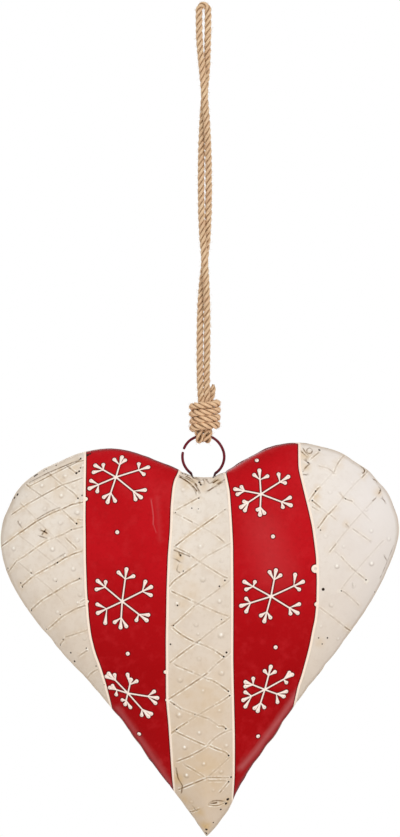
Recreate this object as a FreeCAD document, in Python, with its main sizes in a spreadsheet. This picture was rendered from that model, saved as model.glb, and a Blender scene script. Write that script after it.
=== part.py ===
"""Hanging tin heart: two pressed, domed halves soldered edge to edge, a split wire ring
through two holes beside the cleft, and a doubled jute cord tied to the ring.

Millimetres. The origin is where a nail bears: inside the top of the cord's loop.
X runs across the heart, +Z is up, and the front of the heart faces -Y.
"""

import FreeCAD, Part
import math
import os

import Sketcher
from FreeCAD import Placement, Rotation, Vector

SIZES = {
    # The heart, seen from the front
    "left_width": 122.5,
    "right_width": 118.0,
    "left_rise": 17.5,
    "right_rise": 21.0,
    "cleft_to_tip": 216.9,
    "heart_depth": 45.0,
    "dome_centre_drop": 72.0,
    "sheet_thickness": 0.5,
    # The solder bead along the seam
    "solder_width": 1.6,
    "solder_height": 0.7,
    "solder_seat": 0.05,
    # The wire ring and its two holes
    "ring_radius": 13.0,
    "wire_diameter": 1.3,
    "wire_gap": 1.6,
    "ring_bite": 2.2,
    "ring_hole_radius": 2.0,
    # The jute cord and its knot
    "hang_length": 260.1,
    "cord_diameter": 3.8,
    "wrap_diameter": 3.7,
    "wrap_radius": 7.4,
    "wrap_pitch": 4.2,
    "knot_shift": 0.8,
    "knot_above_wire": 3.5,
    "bight_width": 4.6,
    "bight_thickness": 3.0,
    "wire_clearance": 0.3,
    "bight_seat": 0.05,
    # Overrun of every cutting tool
    "overrun": 2.0,
}

DOME_POWER = 2.4
GAP_ANGLE = 157.0
WRAP_TURNS = 4
SECTION_ANGLES = [0.0, 12.0, 24.0, 36.0, 47.0, 57.0, 66.0, 74.0, 81.0, 86.0]

# Each half of the outline from the cleft to the tip. The first number is a share of that
# half's width. The second is a share of its rise above the cleft, or, where it is
# negative, of the drop from the cleft to the tip.
LEFT_OUTLINE_SHARE = [
    (0.0, 0.0), (0.116, 0.241), (0.264, 0.724), (0.472, 1.0), (0.679, 0.69),
    (0.847, 0.069), (0.963, -0.078), (1.0, -0.176), (0.97, -0.262), (0.872, -0.363),
    (0.709, -0.48), (0.519, -0.597), (0.333, -0.731), (0.161, -0.865), (0.0, -1.0),
]
RIGHT_OUTLINE_SHARE = [
    (0.0, 0.0), (0.115, 0.187), (0.249, 0.648), (0.464, 1.0), (0.68, 0.778),
    (0.849, 0.231), (0.964, -0.061), (1.0, -0.153), (0.962, -0.229), (0.874, -0.329),
    (0.7, -0.466), (0.515, -0.597), (0.317, -0.748), (0.174, -0.865), (0.062, -0.963),
    (0.0, -1.0),
]
HALVES = [(-1, LEFT_OUTLINE_SHARE), (1, RIGHT_OUTLINE_SHARE)]
# How far each side's edge moves towards the middle at the tip for each unit down
TIP_SLOPE_SHARES = {-1: 0.64, 1: 0.9}

# The cord's free stretch, from inside the knot up the left side, round the nail and down
# the right side. The two strands cross twice on their way.
LOOP_ROUTE = [
    (-1.25, -2.05, -256.6), (-1.25, -2.05, -248.5), (-1.4, -1.85, -239.5), (-2.1, -0.9, -229.5),
    (-2.35, -0.2, -216.0),
    (-2.3, 0.4, -199.0), (-1.9, 1.2, -182.0), (-0.9, 2.1, -167.0), (0.8, 2.35, -153.0),
    (2.3, 1.8, -139.0), (3.05, 0.6, -123.0), (3.15, 0.0, -104.0), (2.9, -1.0, -87.0),
    (2.0, -1.95, -69.0), (0.7, -2.3, -53.0), (-0.7, -1.9, -38.0), (-2.0, -0.9, -25.0),
    (-2.65, -0.3, -15.0), (-2.75, 0.0, -6.0), (-2.7, 0.0, 1.95), (2.7, 0.0, 1.95),
    (2.75, 0.0, -6.0), (2.65, 0.3, -15.0), (2.5, 0.9, -25.0), (1.9, 1.9, -38.0),
    (0.5, 2.3, -53.0), (-0.6, 1.95, -69.0), (-1.3, 1.0, -87.0), (-1.5, 0.1, -104.0),
    (-1.3, -0.6, -123.0), (-0.6, -1.8, -139.0), (0.8, -2.35, -153.0), (1.7, -2.1, -167.0),
    (2.1, -1.1, -182.0), (2.3, -0.4, -199.0), (2.25, 0.1, -216.0), (2.1, -0.7, -229.5),
    (2.75, -1.85, -239.5), (2.85, -2.05, -248.5), (2.85, -2.05, -256.6),
]
TAIL_ROUTE = [
    (2.85, 2.05, -256.6), (2.85, 2.05, -248.0), (3.1, 2.4, -238.8), (5.2, 2.0, -233.0),
    (6.0, 1.3, -227.6),
]
BURIED_ROUTE = [(-1.25, 2.05, -256.6), (-1.25, 2.05, -248.1), (-1.35, 2.2, -239.6)]

ARC_SHARE = 0.45
HALVING_SHARE = 1e-9
STEP_SHARE = 0.15  # spacing of the points on which a gap is measured, in tube diameters

doc = FreeCAD.newDocument("tin_heart")
sheet = doc.addObject("Spreadsheet::Sheet", "Sizes")
for row, (alias, value) in enumerate(SIZES.items(), start=1):
    sheet.set(f"A{row}", alias)
    sheet.set(f"B{row}", str(value))
    sheet.setAlias(f"B{row}", alias)
doc.recompute()


def size(alias):
    """The value that the sheet holds under this name."""
    return float(sheet.get(alias))


HALF_DEPTH = size("heart_depth") / 2
WIRE_TOP = Vector(0, 0, -size("hang_length"))
RING_CENTRE = WIRE_TOP - Vector(0, 0, size("ring_radius"))
CLEFT = RING_CENTRE - Vector(0, 0, size("ring_radius") - size("ring_bite"))
DOME_CENTRE = CLEFT - Vector(0, 0, size("dome_centre_drop"))
TIP = CLEFT - Vector(0, 0, size("cleft_to_tip"))
KNOT_BOTTOM = WIRE_TOP.z + size("knot_above_wire")


def feature(name, shape):
    """An object that holds a shape made with Part's own functions."""
    made = doc.addObject("Part::Feature", name)
    made.Shape = shape
    return made


def boolean(kind, name, base, tool):
    made = doc.addObject(f"Part::{kind}", name)
    made.Base, made.Tool = base, tool
    return made


# Outline of the heart

def moved_tip(grow):
    """Where the two edges meet at the tip when both are moved outwards by grow."""
    left, right = TIP_SLOPE_SHARES[-1], TIP_SLOPE_SHARES[1]
    down = grow * (math.hypot(1, left) + math.hypot(1, right)) / (left + right)
    across = grow * math.hypot(1, right) - right * down
    return TIP + Vector(across, 0, -down)


def half_outline(side, shares, grow):
    """One half of the outline as a curve from cleft to tip, moved outwards by grow."""
    width, rise = (size("left_width"), size("left_rise")) if side < 0 else (
        size("right_width"), size("right_rise"))
    drop = size("cleft_to_tip")
    points = [
        CLEFT + Vector(side * across * width, 0, up * (rise if up > 0 else drop))
        for across, up in shares
    ]
    start = Vector(side, 0, 0)
    end = Vector(-side * TIP_SLOPE_SHARES[side], 0, -1).normalize()
    curve = Part.BSplineCurve()
    curve.interpolate(Points=points, InitialTangent=start, FinalTangent=end, Scale=False)
    if grow:
        moved = [points[0] + Vector(0, 0, grow)]
        for point in points[1:-1]:
            tangent = curve.tangent(curve.parameter(point))[0]
            moved.append(point + Vector(-side * tangent.z, 0, side * tangent.x) * grow)
        moved.append(moved_tip(grow))
        curve = Part.BSplineCurve()
        curve.interpolate(Points=moved, InitialTangent=start, FinalTangent=end, Scale=False)
    return curve


def outline(grow, share=1.0, y=0.0):
    """The closed outline, grown by a length, then drawn in to a share and moved to y."""
    place = FreeCAD.Matrix()
    place.move(-DOME_CENTRE)
    place.scale(share, 1, share)
    place.move(DOME_CENTRE + Vector(0, y, 0))
    return Part.Wire([
        half_outline(side, shares, grow).toShape().transformGeometry(place)
        for side, shares in HALVES
    ])


def dome_profile(half_depth):
    """The share to which the outline has shrunk, against the height over the seam."""
    full = math.sin(math.radians(SECTION_ANGLES[-1]))
    points = [
        Vector(
            math.cos(math.radians(a)) ** (2 / DOME_POWER),
            half_depth * math.sin(math.radians(a)) / full,
            0,
        )
        for a in SECTION_ANGLES
    ]
    curve = Part.BSplineCurve()
    curve.interpolate(Points=points)
    return curve


def dome_faces(grow, half_depth, facing):
    """The skin of one domed half: the outline swept to its crown, and the flat crown."""
    profile = dome_profile(half_depth)
    faces = []
    for side, shares in HALVES:
        rim = half_outline(side, shares, grow)
        poles = [
            [
                DOME_CENTRE + (point - DOME_CENTRE) * step.x + Vector(0, facing * step.y, 0)
                for step in profile.getPoles()
            ]
            for point in rim.getPoles()
        ]
        skin = Part.BSplineSurface()
        skin.buildFromPolesMultsKnots(
            poles, rim.getMultiplicities(), profile.getMultiplicities(),
            rim.getKnots(), profile.getKnots(), False, False, rim.Degree, profile.Degree)
        faces.append(skin.toShape())
    crown = profile.value(profile.LastParameter)
    faces.append(Part.Face(outline(grow, crown.x, facing * crown.y)))
    return faces


def solid_of(faces):
    """The closed solid that these faces bound."""
    joined = Part.Compound(faces)
    joined.sewShape()
    made = Part.Solid(joined.Shells[0])
    if made.Volume < 0:
        made.reverse()
    return made


def pressing(facing):
    """One half of the heart: a thin domed skin, open where it meets the other half."""
    thickness = size("sheet_thickness")
    rim = Part.Face(outline(0)).cut(Part.Face(outline(-thickness)))
    return solid_of(
        dome_faces(0, HALF_DEPTH, facing)
        + dome_faces(-thickness, HALF_DEPTH - thickness, facing)
        + rim.Faces
    )


# Tubes along a route

def arc_between(start, corner, end):
    """The arc that is tangent to both legs of a corner, whose legs are equally long."""
    middle = (start + end) * 0.5
    rise, half = corner - middle, (end - start).Length / 2
    sagitta = half * math.tan(math.atan2(rise.Length, half) / 2)
    top = middle + rise.normalize() * sagitta
    return Part.Arc(start, top, end).toShape()


def route_path(points):
    """Straight runs joined by tangent arcs, and the radius of each arc."""
    edges, radii, at = [], [], points[0]
    for before, corner, after in zip(points, points[1:], points[2:]):
        back, on = before - corner, after - corner
        half_turn = (math.pi - back.getAngle(on)) / 2
        leg = ARC_SHARE * min(back.Length, on.Length)
        radii.append(leg / math.tan(half_turn))
        first = corner + back.normalize() * leg
        last = corner + on.normalize() * leg
        edges += [Part.LineSegment(at, first).toShape(), arc_between(first, corner, last)]
        at = last
    edges.append(Part.LineSegment(at, points[-1]).toShape())
    return Part.Wire(edges), radii


def biarc(start, start_way, end, end_way):
    """Two arcs that leave start and reach end in the given directions."""
    chord, ways = end - start, start_way + end_way
    a, b, c = 2 * (1 - start_way.dot(end_way)), 2 * chord.dot(ways), -chord.dot(chord)
    leg = (-b + math.sqrt(b * b - 4 * a * c)) / (2 * a)
    first, last = start + start_way * leg, end - end_way * leg
    join = (first + last) * 0.5
    return [arc_between(start, first, join), arc_between(join, last, end)]


def wrap_path(centre, radius, pitch, turns, lead):
    """A winding of quarter-turn biarcs round an upright axis, with straight ends."""
    climb = pitch / (2 * math.pi * radius)
    stations = []
    for quarter in range(4 * turns + 1):
        angle = math.radians(90 + 90 * quarter)
        out = Vector(math.cos(angle), math.sin(angle), 0)
        way = Vector(-math.sin(angle), math.cos(angle), climb).normalize()
        stations.append((centre + out * radius + Vector(0, 0, pitch * quarter / 4), way))
    (first, first_way), (last, last_way) = stations[0], stations[-1]
    edges = [Part.LineSegment(first - first_way * lead, first).toShape()]
    for (start, start_way), (end, end_way) in zip(stations, stations[1:]):
        edges += biarc(start, start_way, end, end_way)
    edges.append(Part.LineSegment(last, last + last_way * lead).toShape())
    return Part.Wire(edges)


def tube(path, diameter, name):
    """A round solid along a path, with its volume set against section times length."""
    start = path.OrderedEdges[0]
    way = start.tangentAt(start.FirstParameter)
    section = Part.Wire(Part.makeCircle(diameter / 2, start.valueAt(start.FirstParameter), way))
    solid = path.makePipeShell([section], True, False)
    expected = math.pi * diameter ** 2 / 4 * path.Length
    print(f"{name}: length {path.Length:.1f}, volume {solid.Volume / expected:.4f} of expected")
    return solid


def least_gap(path, diameter):
    """The least gap between parts of a tube that lie more than half a turn apart."""
    step = STEP_SHARE * diameter
    points = path.discretize(Number=int(path.Length / step) + 2)
    apart = int(math.pi * diameter / step)
    return min(
        points[i].distanceToPoint(points[j])
        for i in range(len(points))
        for j in range(i + apart, len(points))
    ) - diameter


# The heart's halves

def ring_crossing(side, shares):
    """Where the ring's wire meets the outline near the cleft, found by halving a span."""
    curve = half_outline(side, shares, 0.0)
    low = curve.FirstParameter
    high = curve.parameter(CLEFT + Vector(side * size("ring_radius"), 0, 0))
    while high - low > HALVING_SHARE * curve.LastParameter:
        middle = (low + high) / 2
        inside = curve.value(middle).distanceToPoint(RING_CENTRE) < size("ring_radius")
        low, high = (middle, high) if inside else (low, middle)
    return curve.value(low)


def ring_hole(name, side, shares):
    """A round punch through the seam, along the wire where the wire goes in."""
    at = ring_crossing(side, shares)
    out = at - RING_CENTRE
    way = Vector(-side * out.z, 0, side * out.x).normalize()
    reach = size("overrun") + size("ring_hole_radius") + size("solder_height")
    punch = doc.addObject("Part::Cylinder", name)
    punch.setExpression("Radius", "Sizes.ring_hole_radius")
    punch.setExpression(
        "Height", "2 * (Sizes.overrun + Sizes.ring_hole_radius + Sizes.solder_height)")
    punch.Placement = Placement(at - way * reach, Rotation(Vector(0, 0, 1), way))
    return punch


holes = boolean(
    "Fuse", "ring_holes",
    ring_hole("left_ring_hole", -1, LEFT_OUTLINE_SHARE),
    ring_hole("right_ring_hole", 1, RIGHT_OUTLINE_SHARE),
)
for name, facing in (("front", -1), ("back", 1)):
    blank = feature(f"{name}_pressing", pressing(facing))
    boolean("Cut", f"{name}_shell", blank, holes)


def slab(name, grow):
    """A slab of the heart's outline, as wide as the solder bead."""
    face = Part.Face(outline(grow, 1.0, -size("solder_width") / 2))
    return feature(name, face.extrude(Vector(0, size("solder_width"), 0)))


bead = boolean(
    "Cut", "solder_bead",
    slab("solder_outside", size("solder_seat") + size("solder_height")),
    slab("solder_inside", size("solder_seat")),
)
boolean("Cut", "rim_solder", bead, holes)

# The ring: a round wire bent almost to a full circle, its ends a small gap apart

ring = doc.addObject("PartDesign::Body", "hanging_ring")
wire_section = ring.newObject("Sketcher::SketchObject", "wire_section")
xy_plane = [f for f in ring.Origin.OriginFeatures if f.Role == "XY_Plane"][0]
wire_section.AttachmentSupport = (xy_plane, [""])
wire_section.MapMode = "FlatFace"
wire_section.addGeometry(
    Part.Circle(Vector(size("ring_radius"), 0, 0), Vector(0, 0, 1), size("wire_diameter") / 2))
wire_section.addConstraint(Sketcher.Constraint("PointOnObject", 0, 3, -1))
across = wire_section.addConstraint(
    Sketcher.Constraint("DistanceX", -1, 1, 0, 3, size("ring_radius")))
thick = wire_section.addConstraint(Sketcher.Constraint("Diameter", 0, size("wire_diameter")))
wire_section.setExpression(f"Constraints[{across}]", "Sizes.ring_radius")
wire_section.setExpression(f"Constraints[{thick}]", "Sizes.wire_diameter")
bend = ring.newObject("PartDesign::Revolution", "wire_bend")
bend.Profile = wire_section
bend.ReferenceAxis = (wire_section, ["V_Axis"])
bend.setExpression("Angle", "360 - Sizes.wire_gap / Sizes.ring_radius * 180 / pi")
half_gap = math.degrees(size("wire_gap") / size("ring_radius")) / 2
ring.Placement = Placement(RING_CENTRE, Rotation(Vector(0, 1, 0), -(GAP_ANGLE + half_gap)))

# The cord

loop_path, loop_radii = route_path([Vector(*point) for point in LOOP_ROUTE])
feature("cord_loop", tube(loop_path, size("cord_diameter"), "cord_loop"))
print("cord_loop radii:", " ".join(f"{radius:.1f}" for radius in loop_radii))
print(f"cord_loop least gap to itself: {least_gap(loop_path, size('cord_diameter')):.2f}")

for name, route in (("cord_tail", TAIL_ROUTE), ("cord_buried_end", BURIED_ROUTE)):
    path, radii = route_path([Vector(*point) for point in route])
    feature(name, tube(path, size("cord_diameter"), name))
    print(f"{name} radii:", " ".join(f"{radius:.1f}" for radius in radii))

wrap_start = Vector(size("knot_shift"), 0, KNOT_BOTTOM + size("wrap_diameter") / 2)
wrap = wrap_path(
    wrap_start, size("wrap_radius"), size("wrap_pitch"), WRAP_TURNS, size("wrap_diameter"))
feature("cord_wrap", tube(wrap, size("wrap_diameter"), "cord_wrap"))
print(f"cord_wrap least gap to itself: {least_gap(wrap, size('wrap_diameter')):.2f}")


def bight(name, side):
    """One flattened strand round the ring's wire, turned to stand square to the wire."""
    half_width = size("bight_width") / 2
    sag = size("ring_radius") * (1 - math.cos(math.asin(half_width / size("ring_radius"))))
    bend_radius = (
        (size("wire_diameter") + size("bight_thickness")) / 2 + size("wire_clearance") + sag)
    lean = math.asin((half_width + size("bight_seat")) / (size("ring_radius") - bend_radius))
    leg = size("knot_above_wire") + size("overrun")
    front, back = Vector(0, -bend_radius, 0), Vector(0, bend_radius, 0)
    up = Vector(0, 0, leg)
    path = Part.Wire([
        Part.LineSegment(front + up, front).toShape(),
        Part.Arc(front, Vector(0, 0, -bend_radius), back).toShape(),
        Part.LineSegment(back, back + up).toShape(),
    ])
    section = Part.Ellipse(Vector(), size("bight_width") / 2, size("bight_thickness") / 2)
    section = Part.Wire(section.toShape())
    section.translate(front + up)
    strand = path.makePipeShell([section], True, False)
    strand.translate(WIRE_TOP)
    strand.rotate(RING_CENTRE, Vector(0, 1, 0), side * math.degrees(lean))
    reach = size("bight_width") + 2 * bend_radius + leg
    above = Part.makeBox(
        2 * reach, 2 * reach, reach, Vector(-reach, -reach, KNOT_BOTTOM))
    return feature(name, strand.cut(above))


bight("cord_bight_left", -1)
bight("cord_bight_right", 1)

doc.recompute()

NODES = [
    "front_shell", "back_shell", "rim_solder", "hanging_ring", "cord_loop", "cord_tail",
    "cord_buried_end", "cord_wrap", "cord_bight_left", "cord_bight_right",
]
for made in doc.Objects:
    if "Invalid" in made.State or "Error" in made.State:
        raise RuntimeError(f"{made.Name} did not build")
os.makedirs("parts", exist_ok=True)
for node in NODES:
    made = doc.getObject(node)
    made.Label = node
    shape = made.Shape
    if shape.isNull() or not shape.isValid():
        raise RuntimeError(f"{node} has no valid shape")
    print(f"{node}: {len(shape.Solids)} solid, volume {shape.Volume:.1f}, box {shape.BoundBox}")
for node in NODES:
    doc.getObject(node).Shape.exportStep(f"parts/{node}.step")
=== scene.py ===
"""The looks of the hanging tin heart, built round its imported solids.

Two embossed and enamelled tin halves, a painted solder seam, a wire ring, and a doubled
three-ply jute cord with a wrapped knot. Lengths in the tables are millimetres, or pixels of
the photo where a name says so; meshes are in metres.
"""
import math

import bpy
import numpy as np
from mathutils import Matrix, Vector, noise
from mathutils.geometry import delaunay_2d_cdt


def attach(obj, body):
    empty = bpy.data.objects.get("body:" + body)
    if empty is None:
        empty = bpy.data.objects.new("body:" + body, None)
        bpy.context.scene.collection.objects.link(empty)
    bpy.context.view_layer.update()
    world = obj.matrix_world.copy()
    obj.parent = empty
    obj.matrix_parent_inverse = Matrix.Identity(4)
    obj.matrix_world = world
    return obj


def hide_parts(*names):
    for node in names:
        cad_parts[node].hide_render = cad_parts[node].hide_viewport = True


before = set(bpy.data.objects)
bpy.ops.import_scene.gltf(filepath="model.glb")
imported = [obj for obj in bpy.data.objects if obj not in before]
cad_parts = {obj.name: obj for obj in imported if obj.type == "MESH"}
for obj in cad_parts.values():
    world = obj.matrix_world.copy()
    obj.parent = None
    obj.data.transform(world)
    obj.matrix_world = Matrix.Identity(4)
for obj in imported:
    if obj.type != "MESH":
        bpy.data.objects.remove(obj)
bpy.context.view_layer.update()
scene = bpy.context.scene
collection = scene.collection

MM = 0.001
# Shorter than anything here, to divide by where there is nothing.
NO_LENGTH = 1e-15

# The photo is 400 x 837 pixels. One pixel is 0.605 mm in the plane of the heart's rim, and
# the nail bears at pixel (203.5, 8.4), which is the origin.
IMAGE = (400, 837)
PIXEL = 0.605 * MM
NAIL_PIXEL = (203.5, 8.4)
CAMERA_FAR = 3.0
CAMERA_XZ = np.array([
    (IMAGE[0] / 2 - NAIL_PIXEL[0]) * PIXEL, (NAIL_PIXEL[1] - IMAGE[1] / 2) * PIXEL])


def make_camera():
    """A long lens straight in front, framed as the photo is."""
    data = bpy.data.cameras.new("camera")
    data.sensor_fit = "VERTICAL"
    data.sensor_height = 24.0
    data.lens = data.sensor_height * CAMERA_FAR / (IMAGE[1] * PIXEL)
    camera = bpy.data.objects.new("camera", data)
    camera.location = (CAMERA_XZ[0], -CAMERA_FAR, CAMERA_XZ[1])
    camera.rotation_euler = (math.pi / 2, 0, 0)
    collection.objects.link(camera)
    scene.camera = camera


# Small helpers

def add(tree, kind, inputs=None, **settings):
    """Adds one node, sets its settings, and fills or links its inputs by name or number."""
    node = tree.nodes.new(kind)
    for key, value in settings.items():
        setattr(node, key, value)
    for key, value in (inputs or {}).items():
        if isinstance(value, bpy.types.NodeSocket):
            tree.links.new(value, node.inputs[key])
        else:
            node.inputs[key].default_value = value
    return node


def paint(code):
    """An sRGB hex colour as the linear colour a shader takes."""
    shares = [int(code[i:i + 2], 16) / 255 for i in (1, 3, 5)]
    linear = [c / 12.92 if c <= 0.04045 else ((c + 0.055) / 1.055) ** 2.4 for c in shares]
    return (*linear, 1.0)


def new_material(name):
    """A material with its nodes, ready to be filled: itself, its tree and its shader."""
    material = bpy.data.materials.new(name)
    material.use_nodes = True
    return material, material.node_tree, material.node_tree.nodes["Principled BSDF"]


def coated(tree, colour, coats):
    """Coats of colour laid over each other: what shows each, from which value to which, how
    strongly, and its hex colour."""
    for value, low, high, strength, code in coats:
        share = add(tree, "ShaderNodeMapRange", {
            0: value, 1: low, 2: high, 4: strength}).outputs[0]
        colour = add(tree, "ShaderNodeMix", {
            0: share, 6: colour, 7: paint(code)}, data_type="RGBA").outputs[2]
    return colour


def new_piece(name, mesh, material=None):
    """A mesh as a piece of the scene."""
    piece = bpy.data.objects.new(name, mesh)
    collection.objects.link(piece)
    if material:
        mesh.materials.append(material)
    return piece


def mesh_from(name, points, faces, smooth=True):
    """A mesh from points in metres and faces."""
    mesh = bpy.data.meshes.new(name)
    mesh.from_pydata([tuple(p) for p in points], [], [tuple(f) for f in faces])
    mesh.polygons.foreach_set("use_smooth", [smooth] * len(mesh.polygons))
    mesh.update()
    return mesh


def put_values(mesh, **values):
    """Numbers that the mesh's material reads at each point."""
    for name, numbers in values.items():
        layer = mesh.attributes.new(name, "FLOAT", "POINT")
        layer.data.foreach_set("value", np.asarray(numbers, np.float32))


def tube_faces(first, rings, around, inside_out=False):
    """The faces of a closed tube whose points are rings of some points around, from first."""
    faces = []
    for n in range(rings - 1):
        for k in range(around):
            a = first + n * around + k
            b = first + n * around + (k + 1) % around
            faces.append((a, b, b + around, a + around))
    faces.append([first + k for k in reversed(range(around))])
    faces.append([first + (rings - 1) * around + k for k in range(around)])
    return [(f[0], *f[:0:-1]) for f in faces] if inside_out else faces


def soft_step(values, low, high):
    """0 below low, 1 above high, and a smooth rise between them."""
    share = np.clip((np.asarray(values, float) - low) / (high - low), 0, 1)
    return share * share * (3 - 2 * share)


# The jute cord

# Routes in millimetres from the nail: the points that pull a smooth line to themselves.
LOOP_ROUTE = [
    (-1.25, -2.05, -256.6), (-1.25, -2.05, -248.5), (-1.0, -1.85, -239.5),
    (-1.95, -0.9, -229.5), (-2.2, -0.2, -216.0), (-2.2, 0.4, -199.0),
    (-1.9, 1.2, -182.0), (-0.9, 2.1, -167.0), (0.8, 2.35, -153.0),
    (2.3, 1.8, -139.0), (3.05, 0.6, -123.0), (3.15, 0.0, -104.0),
    (2.9, -1.0, -87.0), (2.0, -1.95, -69.0), (0.7, -2.3, -53.0),
    (-0.7, -1.9, -38.0), (-2.0, -0.9, -25.0), (-2.65, -0.3, -15.0),
    (-2.75, 0.0, -6.0), (-2.7, 0.0, 1.95), (2.7, 0.0, 1.95),
    (2.75, 0.0, -6.0), (2.65, 0.3, -15.0), (2.5, 0.9, -25.0),
    (1.9, 1.9, -38.0), (0.5, 2.3, -53.0), (-0.6, 1.95, -69.0),
    (-1.3, 1.0, -87.0), (-1.5, 0.1, -104.0), (-1.3, -0.6, -123.0),
    (-0.6, -1.8, -139.0), (0.8, -2.35, -153.0), (1.7, -2.1, -167.0),
    (2.1, -1.1, -182.0), (2.2, -0.4, -199.0), (2.0, 0.1, -216.0),
    (1.85, -0.7, -229.5), (2.5, -1.85, -239.5), (2.85, -2.05, -248.5),
    (2.85, -2.05, -256.6)]
TAIL_ROUTE = [
    (2.85, 2.05, -256.6), (2.85, 2.05, -248.0), (3.1, 2.4, -238.8),
    (5.2, 2.0, -233.0), (6.0, 1.3, -227.6)]
BURIED_ROUTE = [(-1.25, 2.05, -256.6), (-1.25, 2.05, -248.1), (-1.35, 2.2, -239.6)]
# A flattened strand round the wire, from its front leg to its back leg, before it leans.
BIGHT_ROUTE = [
    (0.0, -2.66, -254.9), (0.0, -2.66, -256.5), (0.0, -2.7, -258.5), (0.0, -2.05, -260.5),
    (0.0, -0.75, -261.35), (0.0, 0.75, -261.35), (0.0, 2.05, -260.5), (0.0, 2.7, -258.5),
    (0.0, 2.66, -256.5), (0.0, 2.66, -254.9)]
# How far each strand leans round the ring's middle, in degrees, and that middle's height.
BIGHT_LEAN = 9.6
RING_CENTRE_Z = -273.1
# The knot's winding, in millimetres.
WRAP_CENTRE = (0.8, 0.0)
WRAP_START_Z = -254.75
WRAP_RADIUS = 7.4
WRAP_PITCH = 4.2
WRAP_TURNS = 4
WRAP_LEAD = 3.7
# The plain cord: how long its plies take for one turn.
CORD_LAY = 12.5
# Flattening of a cord that isn't flattened, and the sides that flattening is counted from.
ROUND = (1.0, 1.0)
ACROSS = (1.0, 0.0, 0.0)
UPRIGHT = (0.0, 0.0, 1.0)


def wrap_route():
    """The winding's control points, 16 to a turn, with its short straight ends."""
    # A smooth line passes a little inside its control points, so these stand further out.
    to_a_turn = 16
    radius = WRAP_RADIUS / math.cos(math.pi / to_a_turn)
    route = []
    for number in range(to_a_turn * WRAP_TURNS + 1):
        angle = math.radians(90) + math.tau * number / to_a_turn
        uneven = 0.18 * math.sin(1.7 * angle + 0.6) + 0.12 * math.sin(3.1 * angle)
        route.append((
            WRAP_CENTRE[0] + (radius + 0.4 * uneven) * math.cos(angle),
            WRAP_CENTRE[1] + (radius + 0.4 * uneven) * math.sin(angle),
            WRAP_START_Z + WRAP_PITCH * number / to_a_turn + uneven))
    first, last = route[0], route[-1]
    return [
        (first[0] + WRAP_LEAD, first[1], first[2]), *route,
        (last[0] - WRAP_LEAD, last[1], last[2])]


def leaned(route, degrees):
    """A route turned about the ring's axis, as a strand that stands square to the wire."""
    angle = math.radians(degrees)
    turned = []
    for x, y, z in route:
        up = z - RING_CENTRE_Z
        turned.append((
            x * math.cos(angle) + up * math.sin(angle), y,
            RING_CENTRE_Z - x * math.sin(angle) + up * math.cos(angle)))
    return turned


def smooth_line(name, route):
    """The points of the smooth line whose control points are the route's, in metres."""
    curve = bpy.data.curves.new(name, "CURVE")
    curve.dimensions = "3D"
    spline = curve.splines.new("NURBS")
    spline.points.add(len(route) - 1)
    for point, place in zip(spline.points, route):
        point.co = (*[c * MM for c in place], 1.0)
    spline.order_u = 3
    spline.use_endpoint_u = True
    spline.resolution_u = 12
    holder = bpy.data.objects.new(name, curve)
    collection.objects.link(holder)
    line = bpy.data.meshes.new_from_object(holder)
    points = np.array([v.co for v in line.vertices])
    bpy.data.objects.remove(holder)
    bpy.data.curves.remove(curve)
    bpy.data.meshes.remove(line)
    return points


def even_points(points, step):
    """Points evenly spaced along a line."""
    along = np.concatenate([[0], np.cumsum(np.linalg.norm(np.diff(points, axis=0), axis=1))])
    wanted = np.linspace(0, along[-1], max(2, round(along[-1] / step) + 1))
    return np.stack([np.interp(wanted, along, points[:, i]) for i in range(3)], axis=1)


def unit(vectors):
    """Vectors made one long, and nothing where there is none."""
    return vectors / np.maximum(np.linalg.norm(vectors, axis=-1, keepdims=True), NO_LENGTH)


def carried_frames(points, first_side):
    """The line's direction at each point, and two sides that turn with it and don't spin."""
    way = unit(np.gradient(points, axis=0))
    sides = [unit(np.asarray(first_side) - way[0] * np.dot(first_side, way[0]))]
    for tangent in way[1:]:
        sides.append(unit(sides[-1] - tangent * np.dot(sides[-1], tangent)))
    side = np.array(sides)
    return way, side, np.cross(way, side)


def twisted_cord(name, points, diameter, turn, flat, side, taper):
    """A right-laid cord of three plies along a line.

    It is flattened by the shares flat along side and across it, its lay starts at turn, and
    its last taper mm are drawn together.
    """
    points = even_points(points, 0.55 * MM)
    way, side, across = carried_frames(points, side)
    step = np.linalg.norm(points[1] - points[0])
    around = 10
    # Three round plies that touch fill a circle of about twice the sum of these shares.
    ply_radius = diameter * MM * 0.245
    ply_offset = diameter * MM * 0.263
    verts, faces, uv, deep = [], [], [], []
    left = (len(points) - 1 - np.arange(len(points))) * step
    slim = 1 - 0.6 * (1 - soft_step(left, 0, taper * MM)) ** 2 if taper else np.ones(len(points))
    for ply in range(3):
        start = len(verts)
        for i, centre in enumerate(points):
            along = i * step
            phase = math.tau * (along / (CORD_LAY * MM) + ply / 3) + turn
            uneven = noise.noise((along * 210, ply * 7.3, turn))
            bulge = (1 + 0.12 * uneven) * slim[i]
            out = side[i] * math.cos(phase) * flat[0] + across[i] * math.sin(phase) * flat[1]
            round_way = np.cross(way[i], unit(out))
            strand_way = unit(way[i] + round_way * (math.tau * ply_offset / (CORD_LAY * MM)))
            lift = unit(out)
            beside = np.cross(strand_way, lift)
            middle = centre + out * ply_offset * slim[i]
            for k in range(around):
                angle = math.tau * k / around
                spread = lift * math.cos(angle) + beside * math.sin(angle)
                verts.append(middle + spread * ply_radius * bulge)
                uv.append((along / MM, k / around * 6.0 + ply * 11.0))
                # How far round towards the cord's middle this point faces: the material paints
                # shade there.
                deep.append(0.5 - 0.5 * math.cos(angle))
        faces += tube_faces(start, len(points), around)
    mesh = mesh_from(name, verts, faces)
    layer = mesh.uv_layers.new(name="UVMap")
    corners = np.zeros(len(mesh.loops), np.int32)
    mesh.loops.foreach_get("vertex_index", corners)
    layer.data.foreach_set("uv", np.array(uv, np.float32)[corners].ravel())
    put_values(mesh, deep=deep)
    return new_piece(name, mesh)


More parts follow.
